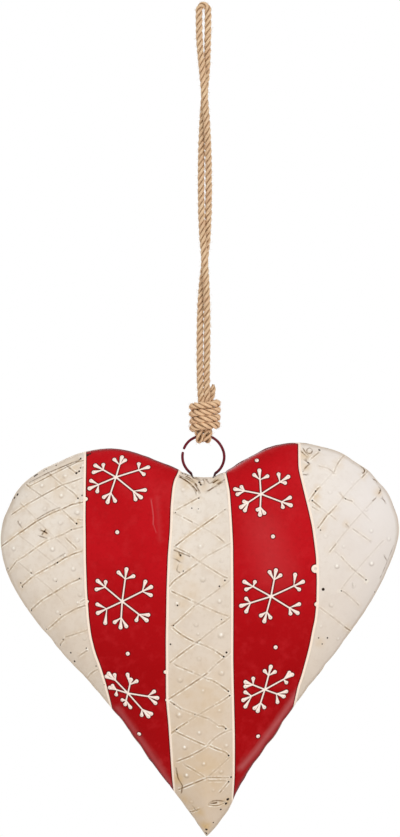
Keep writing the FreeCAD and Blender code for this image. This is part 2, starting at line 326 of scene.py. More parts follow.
def hair_tree():
    """Short loose fibres that stand off a cord's plies."""
    tree = bpy.data.node_groups.new("jute_hairs", "GeometryNodeTree")
    for name, kind in (
            ("Geometry", "NodeSocketGeometry"), ("Hairs per square mm", "NodeSocketFloat"),
            ("Hair length", "NodeSocketFloat"), ("Hair radius", "NodeSocketFloat"),
            ("Seed", "NodeSocketInt"), ("Material", "NodeSocketMaterial")):
        tree.interface.new_socket(name=name, in_out="INPUT", socket_type=kind)
    tree.interface.new_socket(
        name="Geometry", in_out="OUTPUT", socket_type="NodeSocketGeometry")
    given = add(tree, "NodeGroupInput").outputs
    density = add(tree, "ShaderNodeMath", {0: given["Hairs per square mm"], 1: 1e6},
                  operation="MULTIPLY").outputs[0]
    spots = add(tree, "GeometryNodeDistributePointsOnFaces", {
        "Mesh": given["Geometry"], "Density": density, "Seed": given["Seed"]}).outputs
    hair = add(tree, "GeometryNodeCurveQuadraticBezier", {
        "Resolution": 4, "Start": (0, 0, 0), "Middle": (0.35, 0.0, 0.45),
        "End": (1.0, 0.12, 0.38)}).outputs[0]
    sized = add(tree, "GeometryNodeTransform", {
        "Geometry": hair,
        "Scale": add(tree, "ShaderNodeCombineXYZ", {
            0: given["Hair length"], 1: given["Hair length"],
            2: given["Hair length"]}).outputs[0]}).outputs[0]
    ring = add(tree, "GeometryNodeCurvePrimitiveCircle", {
        "Resolution": 3, "Radius": given["Hair radius"]}).outputs[0]
    strand = add(tree, "GeometryNodeCurveToMesh", {
        "Curve": sized, "Profile Curve": ring, "Fill Caps": True}).outputs[0]
    spin = add(tree, "FunctionNodeRandomValue", {
        0: (-0.5, -0.35, 0.0), 1: (0.5, 0.35, math.tau), "Seed": given["Seed"]},
        data_type="FLOAT_VECTOR").outputs[0]
    turned = add(tree, "FunctionNodeRotateRotation", {
        "Rotation": spots["Rotation"], "Rotate By": spin},
        rotation_space="LOCAL").outputs[0]
    size = add(tree, "FunctionNodeRandomValue", {
        2: 0.45, 3: 1.0, "Seed": given["Seed"]}, data_type="FLOAT").outputs[1]
    grown = add(tree, "GeometryNodeInstanceOnPoints", {
        "Points": spots["Points"], "Instance": strand, "Rotation": turned,
        "Scale": size}).outputs[0]
    real = add(tree, "GeometryNodeRealizeInstances", {"Geometry": grown}).outputs[0]
    coloured = add(tree, "GeometryNodeSetMaterial", {
        "Geometry": real, "Material": given["Material"]}).outputs[0]
    joined = add(tree, "GeometryNodeJoinGeometry")
    tree.links.new(coloured, joined.inputs[0])
    tree.links.new(given["Geometry"], joined.inputs[0])
    add(tree, "NodeGroupOutput", {"Geometry": joined.outputs[0]})
    return tree


def with_nodes(piece, tree, **values):
    """The piece's mesh as the node tree makes it, plain again. Underscores stand for spaces."""
    modifier = piece.modifiers.new("nodes", "NODES")
    modifier.node_group = tree
    for item in tree.interface.items_tree:
        wanted = values.get(item.name.replace(" ", "_"))
        if item.in_out == "INPUT" and wanted is not None:
            modifier[item.identifier] = wanted
    bpy.context.view_layer.update()
    seen = piece.evaluated_get(bpy.context.evaluated_depsgraph_get())
    mesh = bpy.data.meshes.new_from_object(
        seen, preserve_all_data_layers=True, depsgraph=bpy.context.evaluated_depsgraph_get())
    piece.modifiers.remove(modifier)
    piece.data = mesh


def make_cords(jute, hairs):
    """The doubled cord, its knot and the two strands round the wire."""
    # Name, solid, route, diameter, where the lay starts, flattening and its side, taper at
    # the end in mm, and the hairs' seed.
    parts = [
        ("jute_loop", "cord_loop", LOOP_ROUTE, 4.25, 0.0, ROUND, ACROSS, 0, 1),
        ("jute_tail", "cord_tail", TAIL_ROUTE, 4.3, 1.0, ROUND, ACROSS, 5, 2),
        ("jute_buried_end", "cord_buried_end", BURIED_ROUTE, 4.0, 2.0, ROUND, ACROSS, 0, 3),
        ("jute_wrap", "cord_wrap", wrap_route(), 4.4, 0.5, (1.15, 0.92), UPRIGHT, 0, 4),
        ("jute_bight_left", "cord_bight_left", leaned(BIGHT_ROUTE, -BIGHT_LEAN), 3.8, 0.3,
         (1.7, 0.8), ACROSS, 0, 5),
        ("jute_bight_right", "cord_bight_right", leaned(BIGHT_ROUTE, BIGHT_LEAN), 3.8, 1.4,
         (1.7, 0.8), ACROSS, 0, 6)]
    tree = hair_tree()
    made = {}
    for name, node, route, diameter, turn, flat, side, taper, seed in parts:
        line = smooth_line(name + "_line", route)
        cord = twisted_cord(name, line, diameter, turn, flat, side, taper)
        cord.data.materials.append(jute)
        with_nodes(cord, tree, Hairs_per_square_mm=0.3, Hair_length=2.1 * MM,
                   Hair_radius=0.05 * MM, Seed=seed, Material=hairs)
        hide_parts(node)
        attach(cord, "hanging_cord")
        made[name] = (cord, line)
    loop, line = made["jute_loop"]
    wrap, line = made["jute_wrap"]


def jute_material():
    """Jute twine: retted plant fibre, spun and plied; dull straw brown, darker between plies."""
    material, tree, shader = new_material("jute_twine")
    uv = add(tree, "ShaderNodeUVMap").outputs[0]
    # Fibres run along each ply at a slant: one every 0.35 mm around, drawn coarse to show.
    slant = add(tree, "ShaderNodeMapping", {
        "Vector": uv, "Rotation": (0, 0, math.radians(-24)), "Scale": (0.35, 2.6, 1.0)})
    fibre = add(tree, "ShaderNodeTexNoise", {
        "Vector": slant.outputs[0], "Scale": 1.0, "Detail": 3.0, "Roughness": 0.6}).outputs[0]
    place = add(tree, "ShaderNodeTexCoord").outputs["Object"]
    # Handfuls of fibre differ over about 5 mm.
    patch = add(tree, "ShaderNodeTexNoise", {
        "Vector": place, "Scale": 190.0, "Detail": 2.0}).outputs[0]
    deep = add(tree, "ShaderNodeAttribute", attribute_name="deep").outputs["Fac"]
    height = add(tree, "ShaderNodeSeparateXYZ", {0: place}).outputs[2]
    # Pale fibres, duller patches, the knot warmer from handling, and painted shade in the
    # grooves of the lay, on the side of each ply that faces the cord's middle.
    colour = coated(tree, paint("#C8A27A"), [
        (fibre, 0.36, 0.66, 1.0, "#FCE2BE"), (patch, 0.4, 0.7, 0.5, "#D3A886"),
        (height, -0.232, -0.24, 0.4, "#FCCFA4"), (deep, 0.12, 0.6, 0.8, "#906640")])
    bump = add(tree, "ShaderNodeBump", {
        "Strength": 0.8, "Distance": 0.25 * MM, "Height": fibre}).outputs[0]
    tree.links.new(colour, shader.inputs["Base Color"])
    tree.links.new(bump, shader.inputs["Normal"])
    shader.inputs["Roughness"].default_value = 0.9
    shader.inputs["Specular IOR Level"].default_value = 0.2
    return material


def hair_material():
    """Loose jute hairs: the same fibre, single, so paler."""
    material, tree, shader = new_material("jute_hairs")
    place = add(tree, "ShaderNodeTexCoord").outputs["Object"]
    # Each hair keeps about one colour, so the pattern is as wide as a hair is long.
    patch = add(tree, "ShaderNodeTexNoise", {
        "Vector": place, "Scale": 600.0, "Detail": 1.0}).outputs[0]
    colour = coated(tree, paint("#C9A57C"), [(patch, 0.0, 1.0, 1.0, "#EAD6B8")])
    tree.links.new(colour, shader.inputs["Base Color"])
    shader.inputs["Roughness"].default_value = 0.85
    return material


# The heart's form

# Each half bulges by DOME_DEPTH over DOME_CENTRE, and falls off by the power of the share
# of the way out to the rim. Its usual reach is what the skin is laid flat by.
DOME_DEPTH = 22.5 * MM
DOME_POWER = 2.4
USUAL_REACH = 110 * MM
DOME_CENTRE = np.array((0.0, -355.9)) * MM
SHEET = 0.5 * MM
# The wire goes in at a slant, so its holes are longer along the seam than they are deep.
WIRE_HOLE = 2.2 * MM
WIRE_HOLE_LENGTH = 3.0 * MM
# The ring: its middle, its bend, how much deeper than a circle it dips inside the heart, the
# wire's radius, and the directions of its two ends in degrees.
WIRE_CENTRE = np.array((-0.2, -271.1)) * MM
WIRE_BEND = 12.6 * MM
WIRE_DIP = 3.8 * MM
WIRE_RADIUS = 0.83 * MM
WIRE_GAP = (159.7, 167.0)
# How far the solder stops short of the middle of each hole.
SEAM_CLEAR = 1.9 * MM


def wire_reach(angle):
    """How far the wire's middle is from the ring's: a circle, longer where the heart hides it."""
    hidden = soft_step(-np.sin(angle), 0.8, 1.0)
    return WIRE_BEND + WIRE_DIP * hidden


def read_outline():
    """The heart's outline as angle and reach from the dome's centre, off the solid's rim."""
    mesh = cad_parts["front_shell"].data
    points = np.array([v.co for v in mesh.vertices])
    corners = np.array([list(p.vertices) for p in mesh.polygons])
    flat = corners[np.abs(points[corners, 1]).max(axis=1) < 1e-6]
    keys = [tuple(k) for k in np.round(points * 1e6).astype(int)]
    uses, faces_of = {}, {}
    for face in flat:
        for a, b in zip(face, np.roll(face, -1)):
            pair = frozenset((keys[a], keys[b]))
            uses[pair] = uses.get(pair, 0) + 1
            faces_of[pair] = (a, b, points[face].mean(axis=0))
    found = {}
    for pair, times in uses.items():
        if times != 1 or len(pair) != 2:
            continue
        a, b, middle = faces_of[pair]
        edge = points[b] - points[a]
        outward = np.array((edge[2], -edge[0]))
        half = (points[a] + points[b]) / 2
        if np.dot(outward, (half - middle)[[0, 2]]) < 0:
            outward = -outward
        radial = half[[0, 2]] - DOME_CENTRE
        if np.dot(outward, radial) > 0.25 * np.linalg.norm(outward) * np.linalg.norm(radial):
            for k in (a, b):
                found[keys[k]] = points[k][[0, 2]] - DOME_CENTRE
    rim = np.array(list(found.values()))
    angle = np.arctan2(rim[:, 1], rim[:, 0])
    reach = np.linalg.norm(rim, axis=1)
    order = np.argsort(angle)
    return angle[order], reach[order]


# Where the real rim is dented or pulled out by hand: place, how far outwards, and reach, in
# pixels of the photo.
RIM_DENTS = [
    (56, 461, -1.7, 16), (154, 459, -1.7, 14), (136, 453, -1.0, 12), (256, 455, -1.1, 12),
    (322, 446, -1.0, 14), (358, 463, -2.4, 14), (378, 481, -2.2, 12), (394, 506, -1.0, 10),
    (36, 474, -1.0, 12), (10, 506, -1.2, 12), (52, 638, -1.2, 10), (83, 675, -1.0, 9),
    (124, 722, -1.2, 9), (140, 746, -1.8, 10), (265, 746, -2.0, 9), (228, 806, 1.4, 9)]
TIP_LEAN = 1.9 * MM
TIP_LEAN_FROM, TIP_Z = -452 * MM, -504 * MM


def tip_lean(heights):
    """How far the heart's tip leans to the right, growing over the last 50 mm."""
    return TIP_LEAN * soft_step(-np.asarray(heights), -TIP_LEAN_FROM, -TIP_Z)


def dented(angle, reach):
    """The outline with the dents of the hand-beaten rim."""
    fine = np.linspace(-math.pi, math.pi, 2161)[:-1]
    out = np.interp(fine, angle, reach, period=math.tau)
    flat = np.stack([np.cos(fine), np.sin(fine)], axis=1) * out[:, None] + DOME_CENTRE
    spots = np.stack([
        flat[:, 0] / PIXEL + NAIL_PIXEL[0], NAIL_PIXEL[1] - flat[:, 1] / PIXEL], axis=1)
    for x, y, far, wide in RIM_DENTS:
        gap = np.linalg.norm(spots - (x, y), axis=1) / wide
        out = out + far * PIXEL * np.exp(-gap * gap)
    return fine, out


OUTLINE_ANGLE, OUTLINE_REACH = dented(*read_outline())


def rim_reach(angle):
    """How far the rim is from the dome's centre in a direction."""
    return np.interp(angle, OUTLINE_ANGLE, OUTLINE_REACH, period=math.tau)


def profile_table():
    """How far the dome's skin runs from its crown, against the share out to the rim."""
    share = np.sin(np.linspace(0, math.pi / 2, 2001))
    depth = np.sqrt(np.clip(1 - share ** DOME_POWER, 0, 1)) * DOME_DEPTH / USUAL_REACH
    run = np.concatenate([[0], np.cumsum(np.hypot(np.diff(share), np.diff(depth)))])
    return share, run


SHARE_TABLE, RUN_TABLE = profile_table()


def polar(flat):
    """Share out to the rim, and direction, of points in the heart's plane."""
    arm = flat - DOME_CENTRE
    angle = np.arctan2(arm[..., 1], arm[..., 0])
    return np.linalg.norm(arm, axis=-1) / rim_reach(angle), angle


def dome_depth(share):
    """How far the dome stands off the rim's plane at a share of the way out."""
    return DOME_DEPTH * np.sqrt(np.clip(1 - share ** DOME_POWER, 0, 1))


def to_skin(flat):
    """Points in the heart's plane as points on its skin laid flat."""
    share, angle = polar(flat)
    run = np.interp(share, SHARE_TABLE, RUN_TABLE)
    stretch = np.where(share > 1e-9, run / np.maximum(share, 1e-9), 1.0)
    return (flat - DOME_CENTRE) * stretch[..., None]


def skin_run(skin):
    """How far points of the flat skin run from its middle, as the profile's table counts it."""
    return np.linalg.norm(skin, axis=-1) / rim_reach(np.arctan2(skin[..., 1], skin[..., 0]))


def from_skin(skin):
    """The way back: flat points in the heart's plane, and their share out to the rim."""
    run = skin_run(skin)
    share = np.interp(run, RUN_TABLE, SHARE_TABLE)
    squeeze = np.where(run > 1e-9, share / np.maximum(run, 1e-9), 1.0)
    return skin * squeeze[..., None] + DOME_CENTRE, share


def from_photo(pixels):
    """Pixels of the photo as points in the heart's plane, under the dome's bulge."""
    pixels = np.asarray(pixels, float)
    plane = np.stack([
        (pixels[..., 0] - NAIL_PIXEL[0]) * PIXEL, (NAIL_PIXEL[1] - pixels[..., 1]) * PIXEL],
        axis=-1)
    flat = plane
    # The bulge is nearer the lens, which shifts the spot, which changes the bulge there.
    for _ in range(4):
        share, _angle = polar(flat)
        nearer = 1 - dome_depth(share) / CAMERA_FAR
        flat = CAMERA_XZ + (plane - CAMERA_XZ) * nearer[..., None]
        flat[..., 0] -= tip_lean(flat[..., 1])
    return flat


def skin_of(pixels):
    """Pixels of the photo as points of the flat skin."""
    return to_skin(from_photo(pixels))


# The pressed pattern, by pixels of the photo

# Red stripes: outer and inner edge of each, from above the rim to below it.
LEFT_OUTER = [
    (86, 430), (86, 452), (85.6, 480), (85.2, 520), (85.6, 560), (86.6, 590), (88.6, 618),
    (91, 636), (95, 652), (101, 668), (106, 684), (111.6, 705.8), (116, 730), (123, 770),
    (133, 812)]
LEFT_INNER = [
    (179.5, 471.5), (176, 475.6), (173, 485), (171, 505), (170.2, 529),
    (168, 556), (166.8, 590), (166, 640), (166.2, 700), (168.4, 724), (170.5, 752),
    (172.6, 780), (175.4, 812)]
RIGHT_INNER = [
    (220, 445), (223, 462), (226.4, 476), (229.6, 492), (231.8, 524), (232.8, 545),
    (233.2, 600), (233, 660), (233.8, 700), (234.8, 740), (234.6, 775), (233.6, 794),
    (232, 812)]
RIGHT_OUTER = [
    (298, 430), (298.4, 446), (298.6, 468), (300.4, 476), (304.2, 492), (308.2, 508),
    (312.2, 526), (314.2, 540), (316.2, 556), (317, 580), (316.6, 604), (315, 620),
    (313, 628), (310, 644), (306, 660), (301.6, 676), (298, 686), (294.5, 701), (290, 722),
    (282, 756), (272, 812)]
STRIPE_EDGES = (LEFT_OUTER, LEFT_INNER, RIGHT_INNER, RIGHT_OUTER)
# Blisters of cream paint over the stripes' edges: centre and radius.
BLISTERS = [(315.4, 568.8, 3.9), (316.4, 604.3, 1.9), (86, 499, 1.7), (87.4, 601.5, 1.2),
            (165.4, 672, 1.6), (166.6, 700, 1.2)]

# Snowflakes: centre, then for each arm its tip and its two side drops.
SNOWFLAKES = [
    ((116, 477.3), [
        ((122.2, 456.2), (114.3, 459.5), (125.1, 460.3)),
        ((149.1, 466.9), (138.8, 464), (143.7, 474.2)),
        ((141.7, 498), (145, 490), (135.5, 499.3)),
        ((107.3, 503), (103.9, 497.2), (115.1, 500.9)),
        ((88.6, 488.9), (91.1, 480.8), (97.3, 491.4)),
        ((94.4, 464.9), (93.6, 472.3), (103.3, 464.9))]),
    ((122.2, 601.5), [
        ((126.6, 568.3), (118.5, 572.4), (133.4, 576.2)),
        ((152, 586.5), (145.4, 581.6), (150.8, 595.2)),
        ((147.5, 620.9), (148.3, 614.9), (136.5, 620.1)),
        ((120.5, 628.4), (114.7, 622.2), (126.3, 626.3)),
        ((96.9, 613.5), (97.3, 604.4), (105.2, 623)),
        ((96.9, 580.3), (96.5, 589.4), (105.6, 582))]),
    ((128, 693.1), [
        ((131.3, 678.6), (127.6, 674.5), (136.7, 681.1)),
        ((158.3, 698.1), (154.1, 691.5), (155.4, 703.1)),
        ((149.1, 717.2), (151.2, 713.8), (141.7, 715.1)),
        ((125.1, 705.1), (122.6, 699.8), (130.5, 707.2)),
        ((108.9, 687.3), (112.7, 685.7), (116.4, 694.4)),
        ((108.1, 672.8), (106.4, 676.5), (114.7, 674.9))]),
    ((260.9, 494), [
        ((259.3, 469.5), (254.2, 474.9), (267.4, 476.2)),
        ((289.1, 476.2), (278.6, 474.2), (285, 482.9)),
        ((291.7, 505.7), (290, 497.6), (282.8, 507)),
        ((259.9, 515.7), (257.6, 509.7), (264.3, 513)),
        ((240.2, 507.7), (244.2, 501.6), (244.9, 510.4)),
        ((234.2, 488.9), (241.5, 486.9), (237.5, 494.3))]),
    ((271, 596.5), [
        ((276.1, 569.3), (269.6, 572), (280.4, 575.3)),
        ((303.8, 581.3), (295.1, 574.6), (299.1, 589.4)),
        ((298.4, 613.5), (299.1, 604.1), (290.4, 613.5)),
        ((264, 622.2), (260.9, 615.5), (270.3, 617.5)),
        ((240.2, 606.1), (246.2, 598.7), (246.2, 611.5)),
        ((243.5, 581.3), (254.9, 582), (246.2, 589.4))]),
    ((264.7, 689.5), [
        ((271, 665.7), (264.7, 671), (274.8, 671.8)),
        ((293, 674.1), (289.2, 672.6), (286.2, 682.4)),
        ((284.6, 696.7), (286.2, 691.4), (277.4, 702)),
        ((257.4, 711.9), (254.4, 708.1), (264.2, 707.3)),
        ((242.3, 700.5), (245.3, 692.2), (245.3, 706.6)),
        ((244.6, 681.6), (253.2, 678.6), (245.3, 686.5))])]
DOTS = [
    (117.2, 532.2), (127.8, 653.7), (139.2, 733.9), (256.9, 460.5), (273, 536.5),
    (275.6, 647.3), (258.3, 736.4)]

# The lattice: how strongly each stretch is pressed and rubbed brown, and its points.
MIDDLE_LATTICE = [
    (0.7, [(176.7, 509.7), (200.4, 496.8)]),
    (1.0, [(175.5, 545.9), (186.8, 536.9), (199.2, 528), (216.3, 515.9)]),
    (0.3, [(216.3, 515.9), (226, 509)]),
    (0.8, [(168.9, 586.7), (174.3, 580.5), (185.2, 572.7), (196.1, 564.9)]),
    (0.35, [(196.1, 564.9), (207, 556), (224.1, 547), (231, 543)]),
    (0.7, [(172, 625.5), (177, 622), (194, 606.5)]),
    (0.3, [(194, 606.5), (215, 592), (229, 581)]),
    (0.5, [(217, 626.5), (224.6, 621.5), (230, 617)]),
    (0.75, [(170, 662.5), (183, 652.5), (200, 640)]), (0.25, [(200, 640), (217, 626.5)]),
    (0.5, [(217.6, 663), (224.6, 657.5), (230, 653)]),
    (0.85, [(169, 699), (191, 684.5), (207, 673.5)]), (0.25, [(207, 673.5), (217.6, 663)]),
    (0.6, [(216.1, 704.5), (223, 700.5), (229.7, 695.6)]),
    (0.25, [(187, 722.3), (200, 714), (216.1, 704.5)]),
    (0.85, [(171.6, 733.1), (177.2, 728.9), (187, 722.3)]),
    (0.7, [(178.1, 760.8), (189.4, 756.5), (201.6, 750), (207.2, 746.2)]),
    (0.4, [(207.2, 746.2), (218, 735.9), (232, 729.4)]),
    (0.9, [(179.1, 789.3), (193.1, 783.7), (203.4, 779.5), (207.2, 777.6)]),
    (0.25, [(207.2, 777.6), (218, 768), (230, 757)]), (0.7, [(220.3, 792.2), (228.7, 781.8)]),
    (0.6, [(190.8, 811.8), (199.2, 809)]),
    (0.2, [(172, 512), (183.7, 517.4)]), (0.65, [(183.7, 517.4), (191.8, 521.7)]),
    (0.2, [(191.8, 521.7), (205, 529), (217.9, 536.9)]), (0.6, [(217.9, 536.9), (224.1, 542)]),
    (0.9, [(175.1, 547), (189.1, 554)]),
    (0.5, [(189.1, 554), (196.1, 559.5), (208.6, 567.3), (223.3, 576.6), (228, 578.1)]),
    (0.8, [(172, 591.5), (190, 600)]), (0.5, [(190, 600), (200, 604.5), (221, 614), (228, 616)]),
    (0.9, [(173, 628), (185, 637), (197.5, 643)]), (0.4, [(197.5, 643), (208, 647), (217, 652)]),
    (0.9, [(217, 652), (223.5, 656.6)]), (0.6, [(176.5, 665.5), (192, 672)]),
    (0.25, [(192, 672), (208, 679.5)]), (0.85, [(208, 679.5), (215, 682), (228.5, 691.3)]),
    (0.9, [(170.2, 701.7), (174.4, 704.5), (180, 708.3)]),
    (0.35, [(180, 708.3), (190.3, 712.5), (209, 719)]), (0.25, [(209, 719), (218.9, 726.1)]),
    (0.8, [(218.9, 726.1), (223.1, 726.1), (225.9, 728.9)]),
    (0.75, [(175.3, 731.7), (193.1, 740.1), (205.3, 745.3)]),
    (0.8, [(210, 746.2), (217.5, 749.5), (225.9, 752.3), (228.7, 755.6)]),
    (0.6, [(185.1, 765), (197.8, 772.5), (204.4, 777.2)]),
    (0.55, [(207.2, 777.6), (228.7, 777.6)]), (0.35, [(208.1, 780.8), (225, 780.8)]),
    (0.8, [(208.6, 804.8), (217.5, 805.7), (225, 802.5)])]
LEFT_LATTICE = [
    (1.0, [(29, 486.4), (31.1, 485.4), (50.4, 475.4), (66.9, 467.2), (77.8, 461.8),
           (85, 460.2)]),
    (0.75, [(12.1, 514.4), (24.6, 505.7), (42, 495.9), (62, 485.1), (72.3, 481.9),
            (82.1, 478.1)]),
    (1.0, [(2.6, 545.9), (17.8, 534.4), (36.7, 521.2), (51.7, 513.2), (62, 509.2),
           (71.8, 504.6), (82.7, 502.3)]),
    (0.65, [(8.6, 571.8), (16.6, 560.9), (24.7, 556.3), (35.6, 548.2)]),
    (0.85, [(35.6, 548.2), (47.6, 540.2)]),
    (0.5, [(47.6, 540.2), (63.1, 534.4), (71.8, 529.6), (83.2, 526.7)]),
    (0.95, [(22, 586), (34.4, 575.2), (57.4, 562.6), (64.3, 558), (74.6, 553.4),
            (82.7, 551.1)]),
    (0.75, [(31.5, 609.5), (42.2, 599.9), (56.7, 591.1), (69, 583.4), (80.4, 578.6)]),
    (0.65, [(48.3, 629), (62.8, 616), (75.9, 608.7), (85, 605.6)]),
    (0.45, [(65.9, 637), (78.9, 632.8), (87.3, 630.1)]),
    (0.5, [(60.5, 644), (64.2, 639.4)]), (0.45, [(79.7, 655.4), (87.3, 650.4)]),
    (0.5, [(88.1, 677.2), (91.2, 673.3), (97.3, 669.5)]),
    (0.8, [(26.8, 484.8), (30.1, 487.8)]), (0.4, [(30.1, 487.8), (40.9, 495.4)]),
    (0.55, [(47.9, 472.6), (58.8, 481.9), (64.2, 486.2), (74, 493.2), (77.8, 498.1)]),
    (0.9, [(66.9, 466.1), (76.4, 473.2)]), (0.7, [(21.1, 504.1), (24.1, 506.8)]),
    (0.6, [(62.6, 510.3), (76.9, 524.1)]), (0.6, [(67.2, 539.6), (76.4, 548.2)]),
    (0.5, [(77.5, 519.5), (82.7, 520.1)]), (0.7, [(76.9, 502.3), (82.7, 502.3)]),
    (0.6, [(30.6, 572.6), (34.4, 575.2)]), (0.5, [(80.4, 602), (84.4, 599.6)]),
    (0.15, [(41, 495.4), (60, 509)]), (0.15, [(24, 506.8), (48, 531), (66, 548)]),
    (0.15, [(17.8, 534.4), (35.6, 548.2), (57.4, 566)]),
    (0.15, [(16.6, 560.9), (30.6, 572.6)]), (0.15, [(35, 576), (56, 594), (64, 604)])]
RIGHT_LATTICE = [
    (0.6, [(311.7, 458.1), (319.1, 452.1)]),
    (0.6, [(334.5, 471.5), (337.9, 463.4), (344.6, 454.7)]),
    (0.35, [(320.5, 466.5), (328.5, 468.8), (333.8, 473.5)]),
    (0.8, [(362, 477.5), (367.3, 471.5)]),
    (1.0, [(308.1, 502.3), (315.8, 491.2), (319.4, 487.6)]),
    (0.8, [(312.1, 500.6), (319.8, 507)]), (0.4, [(312.4, 507), (319.1, 511)]),
    (0.6, [(341.2, 494.9), (345.6, 498.9), (351.9, 500.9)]),
    (0.85, [(318.1, 527.7), (327.1, 515.3), (330.8, 512), (335.9, 506.3)]),
    (0.4, [(331.2, 515.7), (335.2, 519)]), (0.45, [(346, 524), (349, 527.4)]),
    (0.3, [(353.3, 529.1), (369.3, 540.5)]), (0.6, [(329.4, 552), (335.8, 544.2)]),
    (0.5, [(341.4, 556.8), (343.5, 559.3)]), (0.25, [(336.5, 552.6), (351.9, 568.1)]),
    (0.5, [(351.9, 568.1), (360, 575), (366, 580)]),
    (0.3, [(341.4, 590.9), (347.7, 594.7), (359.6, 606)]),
    (0.3, [(319.6, 607.4), (333.7, 617.9), (345, 627)]), (0.8, [(345, 627), (350.5, 631.2)]),
    (0.15, [(335.9, 506.3), (352, 487), (362, 477.5)]), (0.15, [(319.4, 487.6), (334, 471.5)]),
    (0.15, [(335.8, 544.2), (352, 524), (375, 499)]), (0.15, [(351.9, 500.9), (371, 521)]),
    (0.15, [(341, 590), (355, 572), (384, 540)]), (0.15, [(319.8, 507), (331, 516)])]
LATTICE = MIDDLE_LATTICE + LEFT_LATTICE + RIGHT_LATTICE
# Thin brown scratches and curls where the patina stayed, each with its strength.
SCRATCHES = [
    (1.0, [(180, 477.2), (184.4, 479.7), (189.1, 482.8), (193.8, 487.5), (196.9, 491)]),
    (0.6, [(176.7, 474.7), (186.8, 478.6), (193.8, 482.8), (199.2, 491)]),
    (0.9, [(193.2, 478), (196, 478.8), (199.2, 480.6), (200.8, 484.8)]),
    (1.0, [(213.2, 482.8), (218.3, 479.3)]), (0.7, [(208.6, 490.6), (222.9, 481.7)]),
    (0.4, [(210.5, 483.4), (215.6, 479.2)]), (0.5, [(176.4, 478), (178.6, 476)]),
    (0.7, [(186, 476.6), (192, 480), (197, 486)]), (0.8, [(196, 477.6), (201.5, 481)]),
    (0.7, [(203, 479.4), (204.6, 484)]), (0.6, [(206.4, 480), (209.4, 483.6)]),
    (0.7, [(217, 484), (224.4, 479.6)]), (0.5, [(189, 484), (194, 489), (196, 494)]),
    (0.45, [(212, 488), (219, 485.5)]), (0.5, [(204.5, 479), (208, 479.6)]),
    (0.6, [(312.4, 450.7), (311.5, 452.8), (309.4, 453.7), (307.3, 452.8), (306.4, 450.7),
           (307.3, 448.6), (309.4, 447.7), (311.5, 448.6), (312.4, 450.7)]),
    (0.7, [(300.8, 451), (307, 456.7)]), (0.6, [(303, 448), (305.5, 452), (308.5, 455.5)]),
    (0.8, [(306.7, 461.4), (309.4, 463.8)]), (0.6, [(303, 471.5), (305.7, 467.5), (309.5, 464)]),
    (0.5, [(303.5, 474.5), (307, 475)]), (0.8, [(361, 466.6), (364.6, 470.2), (363.3, 473)]),
    (0.7, [(373.4, 479.6), (375.4, 480.4), (377, 482.9)]),
    (0.6, [(379, 487.5), (380.8, 489.8), (379.2, 493)]), (0.5, [(384.6, 501), (382.5, 498.5)]),
    (0.5, [(373, 500.5), (376, 498)]), (0.8, [(41.3, 530.5), (44.2, 531.6), (47.1, 533.4)]),
    (0.6, [(42.5, 534), (44.2, 531.6), (46, 529.5)]), (0.5, [(40.2, 536.2), (47.1, 538.5)]),
    (0.6, [(18, 521.5), (19.5, 524.7), (21.3, 526)]), (1.0, [(76.4, 473.4), (79.4, 471)]),
    (0.6, [(30.1, 481.9), (47.9, 472.9), (66.9, 465.1), (80.5, 459.6)]),
    (0.5, [(37.3, 518.9), (48.8, 512.1), (60.3, 507.5)]),
    (0.35, [(47.6, 563.7), (64.9, 553.4)]), (0.7, [(174.3, 550.1), (189.9, 556.4)]),
    (0.7, [(176.2, 767.8), (178.1, 778.1), (182.3, 785.6), (181.6, 792)]),
    (1.0, [(210.9, 803.6), (217, 802.9)]), (0.6, [(208.6, 803.9), (214.7, 800.8), (224.6, 801.6)]),
    (0.6, [(178.5, 552), (180.6, 556.3)]), (0.5, [(176.5, 559.5), (180.5, 562.5)]),
    (0.5, [(177.8, 566), (176.8, 570.5), (179.5, 572.5)]),
    (0.35, [(393.6, 546), (388.6, 559), (380.6, 577)]), (0.4, [(385, 557), (387, 560.5)]),
    (0.5, [(192.5, 806), (196.5, 811)]), (0.4, [(352.4, 583), (353.2, 588.6)])]
